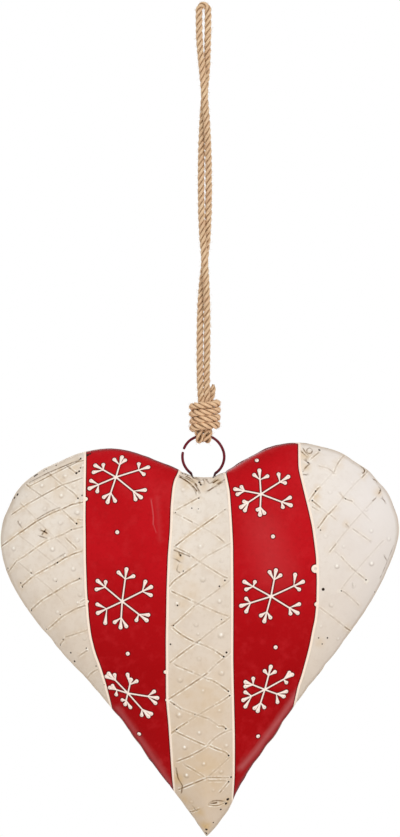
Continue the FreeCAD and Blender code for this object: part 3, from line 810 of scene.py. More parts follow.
# Small chips and drips of dark paint, and four spots of painted shade where the wire goes into
# its holes (at 192-193 and 213-215 across, 476-478 down): place and size in pixels.
SPECKS_AND_HOLE_SHADE = [
    (35.0, 475.6, 1.9), (36.9, 474.6, 1.4), (46.3, 469.4, 0.8), (44.1, 471, 0.7),
    (56.3, 465.6, 0.8), (80.7, 458.4, 1.0), (79.4, 460, 0.7), (87.6, 455, 1.6),
    (90.2, 453.8, 1.2), (192.3, 476.8, 1.0), (193.4, 478.0, 0.9), (213.4, 477.4, 1.1),
    (215.2, 476.2, 1.0), (17.3, 494.4, 1.5), (14.4, 497.6, 1.5), (76.4, 473.2, 1.2),
    (79.2, 471.2, 1.0), (80.5, 467.8, 0.7), (82.1, 495.4, 0.8), (78, 498.4, 0.9),
    (76.6, 523.5, 1.0), (74.7, 661.2, 1.1), (70.9, 652.6, 0.9), (60.4, 645, 0.7),
    (63.2, 639.3, 0.7), (96.1, 666.1, 0.7), (104.5, 684.4, 0.6), (31.6, 610.4, 0.9),
    (47, 629, 0.7), (60.2, 614.4, 0.6), (20.6, 583, 0.8), (22.4, 587, 0.8),
    (57.4, 562.6, 0.9), (79.2, 578.4, 0.7), (56.3, 581.5, 0.5), (7.9, 568.3, 0.8),
    (71.2, 529.7, 0.6), (44.4, 531.4, 1.0), (31.2, 573, 0.7), (86.4, 648.1, 0.7),
    (182.5, 473.4, 0.9), (185.4, 474.3, 0.8), (187.7, 475.8, 0.8), (199.2, 482.4, 1.1),
    (200.9, 484.9, 1.0), (198.8, 498.2, 0.8), (175.5, 512.4, 0.6), (191.8, 508.1, 0.7),
    (198.4, 508.9, 0.6), (224.9, 509.7, 0.5), (183.3, 571.1, 0.7), (180.6, 555.2, 1.0),
    (224.9, 580.4, 0.9), (219.4, 586.3, 0.9), (177.5, 605.4, 0.9), (221.5, 619.5, 0.6),
    (170.5, 644.2, 0.9), (223.7, 656.6, 1.0), (226.5, 652.5, 1.1), (173.6, 625.6, 0.7),
    (228.4, 691.3, 0.9), (229.8, 695.6, 0.8), (174, 704.3, 0.7), (194.8, 714.8, 0.5),
    (176.7, 729.4, 0.8), (225.9, 728.7, 0.9), (228.7, 755.6, 1.0), (231.1, 777.2, 1.0),
    (228.7, 781.8, 0.9), (228.0, 799.4, 1.6), (226.2, 803.6, 1.5), (221, 809.6, 1.0),
    (213.4, 822.6, 0.8), (190, 811.6, 0.8), (191.6, 814, 0.6), (206.4, 829.6, 1.3),
    (206.2, 833.2, 1.2), (323.2, 589.3, 1.6), (341.4, 590.9, 0.7), (327.4, 637.9, 0.9),
    (318.6, 637.9, 0.7), (322.1, 643.9, 0.7), (319.4, 449.8, 1.2), (320.5, 530.1, 0.7),
    (315.6, 491.2, 0.9), (312.2, 500.6, 0.9), (366, 579.8, 0.8), (345.4, 498.8, 0.6),
    (374.8, 592.0, 0.7), (308, 462.6, 0.8), (364, 470, 0.7), (380, 490.4, 0.7)]
# Where the brown patina stayed on: place, reach and strength, in pixels.
STAINS = [
    (178, 779, 14, 0.7), (186, 800, 12, 0.5), (197, 812, 12, 0.7), (205, 826, 11, 0.9),
    (226, 802, 10, 0.6), (72, 466, 17, 0.45), (84, 505, 9, 0.35), (190, 482, 14, 0.6),
    (216, 481, 11, 0.6), (203, 486, 14, 0.4), (179, 556, 9, 0.7), (178, 568, 9, 0.6),
    (182, 604, 9, 0.35), (305, 455, 10, 0.7), (306, 467, 8, 0.5), (315, 497, 9, 0.6),
    (378, 492, 9, 0.5), (364, 470, 7, 0.4), (45, 532, 7, 0.5), (230, 757, 9, 0.4),
    (224, 583, 8, 0.35), (320, 642, 9, 0.35), (338, 464, 9, 0.4), (21, 586, 8, 0.35),
    (176, 730, 8, 0.35), (172, 765, 8, 0.4), (78, 521, 8, 0.5), (28, 486, 8, 0.5),
    (24, 506, 7, 0.5), (200, 700, 60, 0.3), (204, 770, 50, 0.4), (190, 592, 20, 0.25),
    (60, 480, 40, 0.25), (322, 528, 8, 0.3), (346, 524, 6, 0.3)]
# Bosses punched up between the lines: centre, radius in pixels and how strongly.
BOSSES = [
    (65.3, 475.6, 2.6, 0.9), (42, 485.4, 2.3, 0.8), (26.8, 494.3, 2.3, 0.7),
    (61.5, 495.4, 2.4, 0.8), (44.7, 508.4, 2.4, 0.7), (74, 486.2, 2.2, 0.7),
    (83, 465.6, 2.4, 0.8), (77.3, 512.2, 2.6, 1.0), (19.8, 522.1, 2.2, 0.9),
    (60.3, 522.4, 2.4, 0.8), (13.8, 548.4, 2.4, 0.8), (52.5, 548.8, 2.5, 0.9),
    (77.2, 539.6, 2.4, 0.8), (64.9, 555.1, 1.9, 1.0), (31, 570.6, 2.2, 0.7),
    (73.2, 568.6, 2.4, 0.9), (55.1, 579.2, 2.3, 0.9), (31.9, 601.5, 2.0, 0.5),
    (57.6, 612.0, 2.2, 0.8), (80, 594.5, 2.2, 0.8), (77.5, 602.6, 1.8, 0.8),
    (84.6, 638.4, 2.0, 0.6), (87.4, 649.4, 1.9, 0.9), (202.3, 482.1, 3.3, 1.0),
    (183.3, 489.4, 2.4, 0.5), (218.7, 491.4, 2.4, 0.6), (198.6, 510.6, 2.4, 0.7),
    (200.4, 546.2, 2.4, 0.7), (184.6, 531.6, 2.2, 0.4), (202.7, 578.9, 2.8, 0.9),
    (221.5, 560.4, 2.2, 0.5), (177.2, 603.2, 2.5, 1.0), (219.3, 600.9, 2.5, 0.8),
    (196, 624.5, 2.3, 0.7), (198, 633.8, 1.7, 0.6), (221, 634.7, 3.0, 0.9),
    (199, 658.6, 2.3, 0.8), (180, 679.5, 2.8, 0.9), (221.6, 672.8, 2.7, 0.9),
    (203, 690.6, 2.2, 0.5), (179.1, 714.6, 3.0, 1.0), (219.4, 710.6, 2.3, 0.6),
    (184.7, 747, 2.6, 1.0), (199.2, 732.6, 2.4, 0.7), (226.4, 745.3, 2.3, 0.7),
    (186.6, 775.1, 2.6, 1.0), (221.2, 771.5, 2.3, 0.7), (203.9, 763.6, 2.3, 0.7),
    (191.2, 801.5, 2.4, 0.6), (213.5, 790, 2.0, 0.4), (347.9, 524.8, 2.6, 0.7),
    (389.0, 538.5, 2.4, 0.6), (371.4, 530.6, 2.2, 0.5), (336.8, 566, 2.4, 1.0),
    (371.6, 563.2, 2.6, 1.0), (331.6, 604.6, 2.5, 0.9), (338.2, 638.2, 2.3, 0.8),
    (325.6, 536, 2.3, 0.6), (353.4, 585.6, 2.4, 0.5), (305, 484, 2.0, 0.4),
    (330, 492, 2.2, 0.4), (352, 482, 2.2, 0.35), (366, 509, 2.2, 0.4), (344, 546, 2.2, 0.4),
    (321, 626, 2.0, 0.4), (326, 466, 2.2, 0.4), (352, 462, 2.0, 0.4)]
# Pale scuffs on the red, and wide bands of painted sheen over the right stripe and along the
# lower rims: strength, width and points in pixels.
SCUFFS_AND_SHEEN = [
    (0.22, 0.9, [(151.3, 501), (152.4, 508), (153.4, 516), (153.2, 524)]),
    (0.12, 0.9, [(153.2, 524), (155, 529), (156, 532)]),
    (0.12, 1.6, [(132.5, 573.5), (133.8, 577.5)]), (0.04, 3.0, [(157, 498), (160, 540)]),
    (0.045, 34.0, [(264, 530), (276, 572)]),
    (0.22, 6.5, [(299, 690), (285, 711), (270, 732), (257, 750), (241, 768)]),
    (0.13, 6.0, [(118, 708), (132, 727), (147, 748), (161, 768), (171, 784)])]


def curved(points, step):
    """A smooth run through two or three points, at about one step a point."""
    points = np.asarray(points, float)
    length = np.linalg.norm(np.diff(points, axis=0), axis=1).sum()
    share = np.linspace(0, 1, max(3, int(length / step) + 1))[:, None]
    if len(points) == 3:
        ends = points[0] * (1 - share) + points[2] * share
        bow = points[1] - (points[0] + points[2]) / 2
        return ends + bow * 4 * share * (1 - share)
    return np.stack([np.interp(share[:, 0] * (len(points) - 1), range(len(points)),
                               points[:, k]) for k in (0, 1)], axis=1)


def spots_near(spots, points, reach):
    """Which spots lie in the box round some points, made wider by reach."""
    low, high = points.min(axis=0) - reach, points.max(axis=0) + reach
    return np.nonzero(((spots > low) & (spots < high)).all(axis=1))[0]


def to_line(spots, line, reach):
    """Distance from spots to a run of points; far spots keep reach."""
    near = np.full(len(spots), reach)
    inside = spots_near(spots, line, reach)
    some = spots[inside]
    best = near[inside]
    for a, b in zip(line, line[1:]):
        run = b - a
        share = np.clip(((some - a) @ run) / (run @ run), 0, 1)
        best = np.minimum(best, np.linalg.norm(some - (a + share[:, None] * run), axis=1))
    near[inside] = best
    return near


def to_drop(spots, start, end, start_radius, end_radius):
    """How deep spots lie inside a drop that grows from one round end to the other."""
    run = end - start
    share = np.clip(((spots - start) @ run) / (run @ run), 0, 1)
    size = np.linalg.norm(spots - (start + share[:, None] * run), axis=1)
    return start_radius + (end_radius - start_radius) * share ** 1.7 - size


def flake_drops():
    """Every stroke of the snowflakes on the flat skin: start, end, and the radius at each."""
    drops = []
    for centre, arms in SNOWFLAKES:
        middle = np.array(centre, float)
        for tip, first, second in arms:
            tip = np.array(tip, float)
            length = np.linalg.norm(tip - middle)
            fork = middle + (tip - middle) * (1 - min(0.42, 11 / length))
            head = middle + (tip - middle) * (1 - 1.0 / length)
            drops.append((middle, fork, 0.42, 0.4))
            drops.append((fork, head, 0.34, 1.2))
            for side in (first, second):
                drops.append((fork, np.array(side, float), 0.2, 1.15))
    return [(skin_of(a), skin_of(b), thin * MM, thick * MM) for a, b, thin, thick in drops]


# How far from a thing its distance is still told apart, and the sizes of dots and ribs. A
# drop thicker than BIG_DROP has a pit in its head. LIP is how many pixels a chased line's
# lips, raised and with a painted highlight, are from its groove.
STROKE_REACH = 3.0 * MM
STRIPE_REACH = 9.0 * MM
LATTICE_REACH = 3.0 * MM
DOT_RADIUS = 1.15 * MM
BIG_DROP = 0.7 * MM
RIB_CENTRE = 0.85 * MM
LIP = 1.4
# How high each thing is pressed out of the sheet, and how deep into it: the lattice's lips,
# the bosses, the ribs, the strokes, the groove round a stroke and the pit in a drop's head.
RIDGE_HEIGHT = 0.12 * MM
BOSS_HEIGHT = 0.24 * MM
RIB_HEIGHT = 0.55 * MM
STROKE_HEIGHT = 0.95 * MM
GROOVE_DEPTH = 0.12 * MM
PIT_DEPTH = 0.3 * MM


class Pattern:
    """Distances from spots of the skin to everything that is pressed or painted on it.

    Metres in: stripe (inside a red stripe above 0), stroke (inside a snowflake's stroke or a
    dot above 0), speck (inside a chip, or a spot of painted shade at a wire hole, above 0)
    and pit (from the middle of a drop's head). Shares in: ridges, crease (brown in the
    grooves, and painted shade below the bosses), light (painted highlight), stain, scuff
    (pale scuffs and painted sheen) and boss.
    """

    def __init__(self, spots):
        self.spots = spots
        # How far each spot is to the right of each edge of the two red stripes.
        right_of = []
        for edge in STRIPE_EDGES:
            line = skin_of(curved_edge(edge))
            right_of.append(side_of(spots, line) * to_line(spots, line, STRIPE_REACH))
        self.stripe = np.maximum(np.minimum(right_of[0], -right_of[1]),
                                 np.minimum(right_of[2], -right_of[3]))
        for x, y, radius in BLISTERS:
            self.stripe = np.minimum(self.stripe, self.gap_to((x, y)) - radius * PIXEL)
        self.stroke = np.full(len(spots), -STROKE_REACH)
        self.pit = np.full(len(spots), STROKE_REACH)
        for start, end, thin, thick in flake_drops():
            some = spots_near(spots, np.stack([start, end]), STROKE_REACH)
            self.stroke[some] = np.maximum(
                self.stroke[some], to_drop(spots[some], start, end, thin, thick))
            if thick > BIG_DROP:
                self.pit[some] = np.minimum(
                    self.pit[some], np.linalg.norm(spots[some] - end, axis=1))
        for dot in DOTS:
            gap = self.gap_to(dot)
            self.stroke = np.maximum(self.stroke, np.maximum(DOT_RADIUS - gap, -STROKE_REACH))
            self.pit = np.minimum(self.pit, gap)
        none = np.zeros(len(spots))
        self.ridges = self.crease = self.light = self.stain = self.scuff_and_sheen = self.boss = none
        for pressed, line in LATTICE:
            # Each line is chased: a thin groove that holds brown, and a lip on each side with a
            # painted highlight.
            off = to_line(spots, skin_of(curved(line, 3.0)), LATTICE_REACH) / PIXEL
            lip = 1 - soft_step(np.abs(off - LIP), 0.15, 0.85)
            groove = 1 - soft_step(off, 0.3, 0.85)
            self.ridges = np.maximum(self.ridges, pressed ** 0.5 * lip)
            self.light = np.maximum(self.light, pressed ** 0.6 * lip)
            self.crease = np.maximum(self.crease, 0.66 * pressed ** 0.8 * groove)
            self.stain = np.maximum(self.stain, 0.4 * pressed * (1 - soft_step(off, 0.5, 4.0)))
        for strength, line in SCRATCHES:
            off = to_line(spots, skin_of(curved(line, 2.0)), LATTICE_REACH) / PIXEL
            self.crease = np.maximum(
                self.crease, 1.25 * strength * (1 - soft_step(off, 0.3, 1.0)))
            # A thin painted highlight runs beside each scratch.
            self.light = np.maximum(
                self.light, 0.6 * strength * (1 - soft_step(np.abs(off - 1.6), 0.1, 0.8)))
        for strength, wide, line in SCUFFS_AND_SHEEN:
            off = to_line(spots, skin_of(curved(line, 2.0)), (wide + 2) * PIXEL) / PIXEL
            self.scuff_and_sheen = np.maximum(self.scuff_and_sheen, strength * (1 - soft_step(off, 0, wide)))
        self.speck_and_hole_shade = np.full(len(spots), -STROKE_REACH)
        for x, y, radius in SPECKS_AND_HOLE_SHADE:
            self.speck_and_hole_shade = np.maximum(self.speck_and_hole_shade, radius * PIXEL - self.gap_to((x, y)))
        for x, y, reach, strength in STAINS:
            self.stain = np.maximum(self.stain, strength * (
                1 - soft_step(self.gap_to((x, y)), 0, reach * PIXEL)))
        for x, y, radius, strength in BOSSES:
            arm = (spots - skin_of((x, y))) / (radius * PIXEL)
            out = np.linalg.norm(arm, axis=1)
            self.boss = np.maximum(self.boss, strength * (1 - soft_step(out, 0.1, 1.0)))
            # A faint brown ring round a boss, none of it above and most of it below, where it is
            # painted shade.
            ring = 1 - soft_step(np.abs(out - 1.0), 0.05, 0.4)
            lower = np.clip(0.45 - 0.55 * arm[:, 1] / np.maximum(out, 0.1), 0, 1)
            self.crease = np.maximum(self.crease, 0.32 * strength * ring * lower)
            # A painted highlight on each boss, a little above its middle.
            self.light = np.maximum(
                self.light, 1.2 * strength * (1 - soft_step(
                    np.linalg.norm(arm - (0.0, 0.15), axis=1), 0.25, 0.7)))

    def gap_to(self, pixel):
        """How far each spot is from a pixel of the photo, along the skin."""
        return np.linalg.norm(self.spots - skin_of(pixel), axis=1)

    def relief(self):
        """How far the sheet stands off the plain dome, in metres."""
        cream = soft_step(-self.stripe, 1.2 * MM, 2.4 * MM)
        ridges = RIDGE_HEIGHT * cream * self.ridges
        boss = BOSS_HEIGHT * cream * self.boss
        rib = RIB_HEIGHT * (
            1 - soft_step(np.abs(self.stripe + RIB_CENTRE), 0.1 * MM, 0.85 * MM))
        stroke = STROKE_HEIGHT * soft_step(self.stroke, -0.25 * MM, 0.95 * MM)
        groove = GROOVE_DEPTH * (
            1 - soft_step(np.abs(self.stroke + 0.5 * MM), 0, 0.45 * MM))
        pit = PIT_DEPTH * (1 - soft_step(self.pit, 0.1 * MM, 0.5 * MM))
        return ridges + boss + rib + stroke - groove - pit


def curved_edge(edge):
    """A stripe's edge with its corners eased, at a point every 2 pixels or so."""
    points = np.array(edge, float)
    fine = np.arange(points[0, 1], points[-1, 1] + 1, 2.0)
    across = np.interp(fine, points[:, 1], points[:, 0])
    kernel = np.ones(5) / 5
    padded = np.concatenate([np.full(2, across[0]), across, np.full(2, across[-1])])
    return np.stack([np.convolve(padded, kernel, "valid"), fine], axis=1)


def side_of(spots, edge):
    """1 right of a stripe's edge and -1 left of it."""
    order = np.argsort(-edge[:, 1])
    across = np.interp(-spots[:, 1], -edge[order, 1], edge[order, 0])
    return np.where(spots[:, 0] > across, 1.0, -1.0)


# The embossed halves

def at_rim(angle, share=1.0):
    """Flat points at a share of the way out to the rim."""
    angle = np.asarray(angle, float)
    way = np.stack([np.cos(angle), np.sin(angle)], axis=-1)
    return way * (rim_reach(angle) * share)[..., None] + DOME_CENTRE


def rim_points(step):
    """Points round the rim, with their angles, evenly spaced, anticlockwise from the left."""
    angle = np.linspace(-math.pi, math.pi, 20001)
    along = np.concatenate([
        [0], np.cumsum(np.linalg.norm(np.diff(at_rim(angle), axis=0), axis=1))])
    wanted = np.linspace(0, along[-1], int(along[-1] / step) + 1)[:-1]
    turned = np.interp(wanted, along, angle)
    return turned, at_rim(turned)


# Of the rim's points near the middle, those above this are by the cleft, not by the tip.
CLEFT_ABOVE = -320 * MM


def wire_holes():
    """Angles of the two points where the wire goes in through the seam, left and right."""
    angle, flat = rim_points(0.05 * MM)
    arm = flat - WIRE_CENTRE
    off = np.linalg.norm(arm, axis=1) - wire_reach(np.arctan2(arm[:, 1], arm[:, 0]))
    found = []
    for side in (-1, 1):
        aside = flat[:, 0] * side
        by_cleft = (aside > 2 * MM) & (aside < 20 * MM) & (flat[:, 1] > CLEFT_ABOVE)
        some = np.nonzero(by_cleft)[0]
        found.append(angle[some[np.argmin(np.abs(off[some]))]])
    return found


HOLE_ANGLES = wire_holes()


def half_border():
    """The half's border as flat points and depths: the rim, bent in round the wire's holes."""
    angle, flat = rim_points(1.0 * MM)
    border = []
    hole_flat = [at_rim(a) for a in HOLE_ANGLES]
    done = [False, False]
    for turn, spot in zip(angle, flat):
        gaps = [np.linalg.norm(spot - h) for h in hole_flat]
        near = int(np.argmin(gaps))
        if gaps[near] > WIRE_HOLE_LENGTH:
            border.append((spot, 0.0))
        elif not done[near]:
            done[near] = True
            # The rim is walked with growing angle, so the arc goes the same way. The small
            # turn tells how much angle the hole's length takes up.
            small = 1e-4
            span = WIRE_HOLE_LENGTH / np.linalg.norm(
                at_rim(HOLE_ANGLES[near] + small) - hole_flat[near]) * small
            for part in np.linspace(-1, 1, 13):
                lean = part * math.pi / 2
                depth = WIRE_HOLE * math.cos(lean)
                share = (1 - (depth / DOME_DEPTH) ** 2) ** (1 / DOME_POWER)
                place = at_rim(HOLE_ANGLES[near] + span * math.sin(lean), share)
                border.append((place, depth))
    spots, depths = zip(*border)
    return np.array(spots), np.array(depths)


def beside_line(line, offsets, step):
    """Points along a run at some distances either side of it."""
    found = []
    length = np.linalg.norm(np.diff(line, axis=0), axis=1)
    along = np.concatenate([[0], np.cumsum(length)])
    wanted = np.arange(0, along[-1], step)
    places = np.stack([np.interp(wanted, along, line[:, k]) for k in (0, 1)], axis=1)
    way = unit(np.gradient(places, axis=0))
    out = np.stack([-way[:, 1], way[:, 0]], axis=1)
    for offset in offsets:
        found.append(places + out * offset)
    return np.vstack(found)


def around_spot(centre, radii, count):
    """A spot and points on circles round it, each circle turned a little from the last."""
    found = [centre[None, :]]
    for radius in radii:
        turn = np.linspace(0, math.tau, count, endpoint=False) + radius * 1000
        found.append(centre + radius * np.stack([np.cos(turn), np.sin(turn)], axis=1))
    return np.vstack(found)


def thinned(groups, border):
    """The points of all groups in turn, leaving out those too near to one already kept."""
    cell = 0.25 * MM
    kept, grid = [], {}

    def too_near(x, z, gap):
        reach = int(math.ceil(gap / cell))
        i, j = int(x // cell), int(z // cell)
        for a in range(i - reach, i + reach + 1):
            for b in range(j - reach, j + reach + 1):
                for u, v in grid.get((a, b), ()):
                    if (u - x) ** 2 + (v - z) ** 2 < gap * gap:
                        return True
        return False

    for x, z in border:
        grid.setdefault((int(x // cell), int(z // cell)), []).append((x, z))
    for points, gap in groups:
        for (x, z), out in zip(points.tolist(), skin_run(points).tolist()):
            # A point almost on the border would make slivers.
            if out < RUN_TABLE[-1] * 0.9985 and not too_near(x, z, gap):
                grid.setdefault((int(x // cell), int(z // cell)), []).append((x, z))
                kept.append((x, z))
    return np.array(kept)


def staggered(across, down, columns, rows):
    """Points in rows, each row moved by half a step, that reach as far on every side."""
    return np.array([
        ((column + 0.5 * (row % 2)) * across, row * down)
        for row in range(-rows, rows + 1) for column in range(-columns, columns + 1)])


def skin_points(border):
    """Where the embossed sheet needs points, laid out on the flat skin."""
    row = np.array
    groups = []
    for start, end, thin, thick in flake_drops():
        run = end - start
        length = np.linalg.norm(run)
        way = run / length
        out = row((-way[1], way[0]))
        count = max(2, int(length / (0.5 * MM)))
        for share in np.linspace(0, 1, count):
            radius = thin + (thick - thin) * share
            offsets = row((0, radius * 0.5, radius, radius + 0.45 * MM, radius + 1.0 * MM))
            offsets = np.concatenate([offsets, -offsets[1:]])
            groups.append((start + run * share + offsets[:, None] * out, 0.24 * MM))
        if thick > BIG_DROP:
            groups.append((around_spot(
                end, (0.35 * MM, thick * 0.65, thick, thick + 0.45 * MM, thick + 1.0 * MM),
                12), 0.24 * MM))
    for dot in DOTS:
        groups.append((around_spot(skin_of(dot), row((0.35, 0.8, 1.15, 1.6, 2.1)) * MM, 14),
                       0.24 * MM))
    for edge in STRIPE_EDGES:
        line = skin_of(curved_edge(edge))
        for offsets in ((0.9, 0.45, 0, -0.3, -0.85, -1.4, -1.8, -2.4),
                        (0.3, 0.85, 1.4, 1.8, 2.4)):
            groups.append((beside_line(line, row(offsets) * MM, 0.9 * MM), 0.25 * MM))
    for x, y, radius, _strength in BOSSES:
        groups.append((around_spot(
            skin_of((x, y)), row((0.3, 0.6, 0.85, 1.05, 1.25, 1.6)) * radius * PIXEL, 12),
            0.24 * MM))
    for x, y, radius in BLISTERS:
        groups.append((around_spot(
            skin_of((x, y)), (radius + row((-2, -1, -0.3, 0.3, 0.8, 1.4))) * PIXEL, 14),
            0.24 * MM))
    for x, y, radius in SPECKS_AND_HOLE_SHADE:
        groups.append((around_spot(
            skin_of((x, y)), row((0.5, 1.0, 1.5, 2.2)) * radius * PIXEL, 9), 0.22 * MM))
    # Lines, how finely they bend in pixels, the points beside them in pixels, and how far
    # apart the points are along them and at least from each other, in millimetres.
    for lines, ease, offsets, along, gap in (
            (SCRATCHES, 2.0, (0, 0.5, -0.5, 1.0, -1.0), 0.8, 0.22),
            (LATTICE, 3.0, (0, 0.45, -0.45, 0.9, -0.9, 1.4, -1.4, 1.85, -1.85, 2.3, -2.3),
             1.0, 0.22),
            (SCUFFS_AND_SHEEN, 2.0, (0, 0.5, -0.5, 1.1, -1.1), 1.0, 0.25)):
        for *_strength, line in lines:
            groups.append((beside_line(
                skin_of(curved(line, ease)), row(offsets) * PIXEL, along * MM), gap * MM))
    # Towards the rim the dome is steep: how steep in degrees, and the points' spacing in mm.
    for lean, step in ((89, 1.0), (87.6, 1.1), (85.8, 1.2), (83.5, 1.5), (80, 1.8),
                       (76, 2.2), (71, 2.5), (65, 2.8)):
        angle, _flat = rim_points(step * MM)
        share = math.sin(math.radians(lean)) ** (2 / DOME_POWER)
        groups.append((to_skin(at_rim(angle, share)), step * 0.55 * MM))
    groups.append((staggered(2.2 * MM, 1.9 * MM, 80, 90), 1.4 * MM))
    return thinned(groups, border)


def triangles(points, border_count):
    """The sheet's points and triangles inside its border, anticlockwise from the front."""
    edges = [(i, (i + 1) % border_count) for i in range(border_count)]
    made = delaunay_2d_cdt([Vector(p) for p in points], edges, [], 1, 1e-9)
    return np.array([tuple(v) for v in made[0]]), np.array([list(f) for f in made[2]])


def normals_of(points, faces):
    """Which way the surface faces at each point."""
    sums = np.zeros_like(points)
    corner = points[faces]
    face = np.cross(corner[:, 1] - corner[:, 0], corner[:, 2] - corner[:, 0])
    for k in range(3):
        np.add.at(sums, faces[:, k], face)
    return unit(sums)


def uneven(spots):
    """Slow unevenness of a sheet beaten by hand, in metres."""
    return np.array([
        0.45 * noise.noise((x * 28, z * 28, 3.7)) + 0.2 * noise.noise((x * 75, z * 75, 9.1))
        for x, z in spots]) * MM


def half_shell(border, border_depth):
    """The front half's outer skin: points, faces, pattern and shares out to the rim."""
    edge = to_skin(border)
    spots, faces = triangles(np.vstack([edge, skin_points(edge)]), len(edge))
    flat, share = from_skin(spots)
    flat[:len(edge)] = border
    depth = dome_depth(share)
    depth[:len(edge)] = border_depth
    base = np.stack([flat[:, 0], -depth, flat[:, 1]], axis=1)
    pattern = Pattern(spots)
    # The pattern dies away at the seam, where both halves have to meet.
    fade = soft_step(RUN_TABLE[-1] - skin_run(spots), 0.0, 0.03)
    fade[:len(edge)] = 0
    height = (pattern.relief() + uneven(spots)) * fade
    return base + normals_of(base, faces) * height[:, None], faces, pattern, share


def plain_lining(border, border_depth):
    """The front half's inner skin, one sheet's thickness inside the plain dome."""
    edge = to_skin(border)
    coarse = thinned([(staggered(7.0 * MM, 6.0 * MM, 24, 30), 4.0 * MM)], edge)
    spots, faces = triangles(np.vstack([edge, coarse]), len(edge))
    flat, share = from_skin(spots)
    flat[:len(edge)] = border
    depth = dome_depth(share)
    depth[:len(edge)] = border_depth
    dome = np.stack([flat[:, 0], -depth, flat[:, 1]], axis=1)
    normal = normals_of(dome, faces)
    # Where the two halves meet, the sheet's thickness lies flat in their common plane.
    along = np.roll(border, -1, axis=0) - np.roll(border, 1, axis=0)
    level = np.stack([along[:, 1], np.zeros(len(edge)), -along[:, 0]], axis=1)
    met = np.nonzero(border_depth < 1e-6)[0]
    normal[met] = unit(level[met])
    return dome - normal * SHEET, faces


def make_halves(enamel):
    """Both halves: outer skin with the pattern, plain inner skin, and the cut edge."""
    border, border_depth = half_border()
    outer, faces, pattern, share = half_shell(border, border_depth)
    inner, inner_faces = plain_lining(border, border_depth)
    first, count = len(outer), len(border)
    cut_edge = [(first + i, first + (i + 1) % count, (i + 1) % count, i) for i in range(count)]
    points = np.vstack([outer, inner])
    points[:, 0] += tip_lean(points[:, 2])
    all_faces = ([tuple(f) for f in faces] + [tuple(first + k for k in f[::-1])
                 for f in inner_faces] + cut_edge)
    # What the paint reads, and what it reads on the bare inner skin.
    values = {
        "stripe": (pattern.stripe / MM, -9), "stroke": (pattern.stroke / MM, -3),
        "light": (pattern.light, 0), "scuff_and_sheen": (pattern.scuff_and_sheen, 0),
        "pit": (pattern.pit / MM, 3), "crease": (pattern.crease, 0),
        "speck_and_hole_shade": (pattern.speck_and_hole_shade / MM, -3), "stain": (pattern.stain, 0), "rim": (share, 0)}
    for name, node, side in (("front_half", "front_shell", 1), ("back_half", "back_shell", -1)):
        placed = points * (1, side, 1)
        turned = all_faces if side == 1 else [tuple(reversed(f)) for f in all_faces]
        mesh = mesh_from(name, placed, turned)
        put_values(mesh, **{
            key: np.append(numbers, np.full(len(inner), rest))
            for key, (numbers, rest) in values.items()})
        piece = new_piece(name, mesh, enamel)
        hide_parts(node)
        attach(piece, "heart")


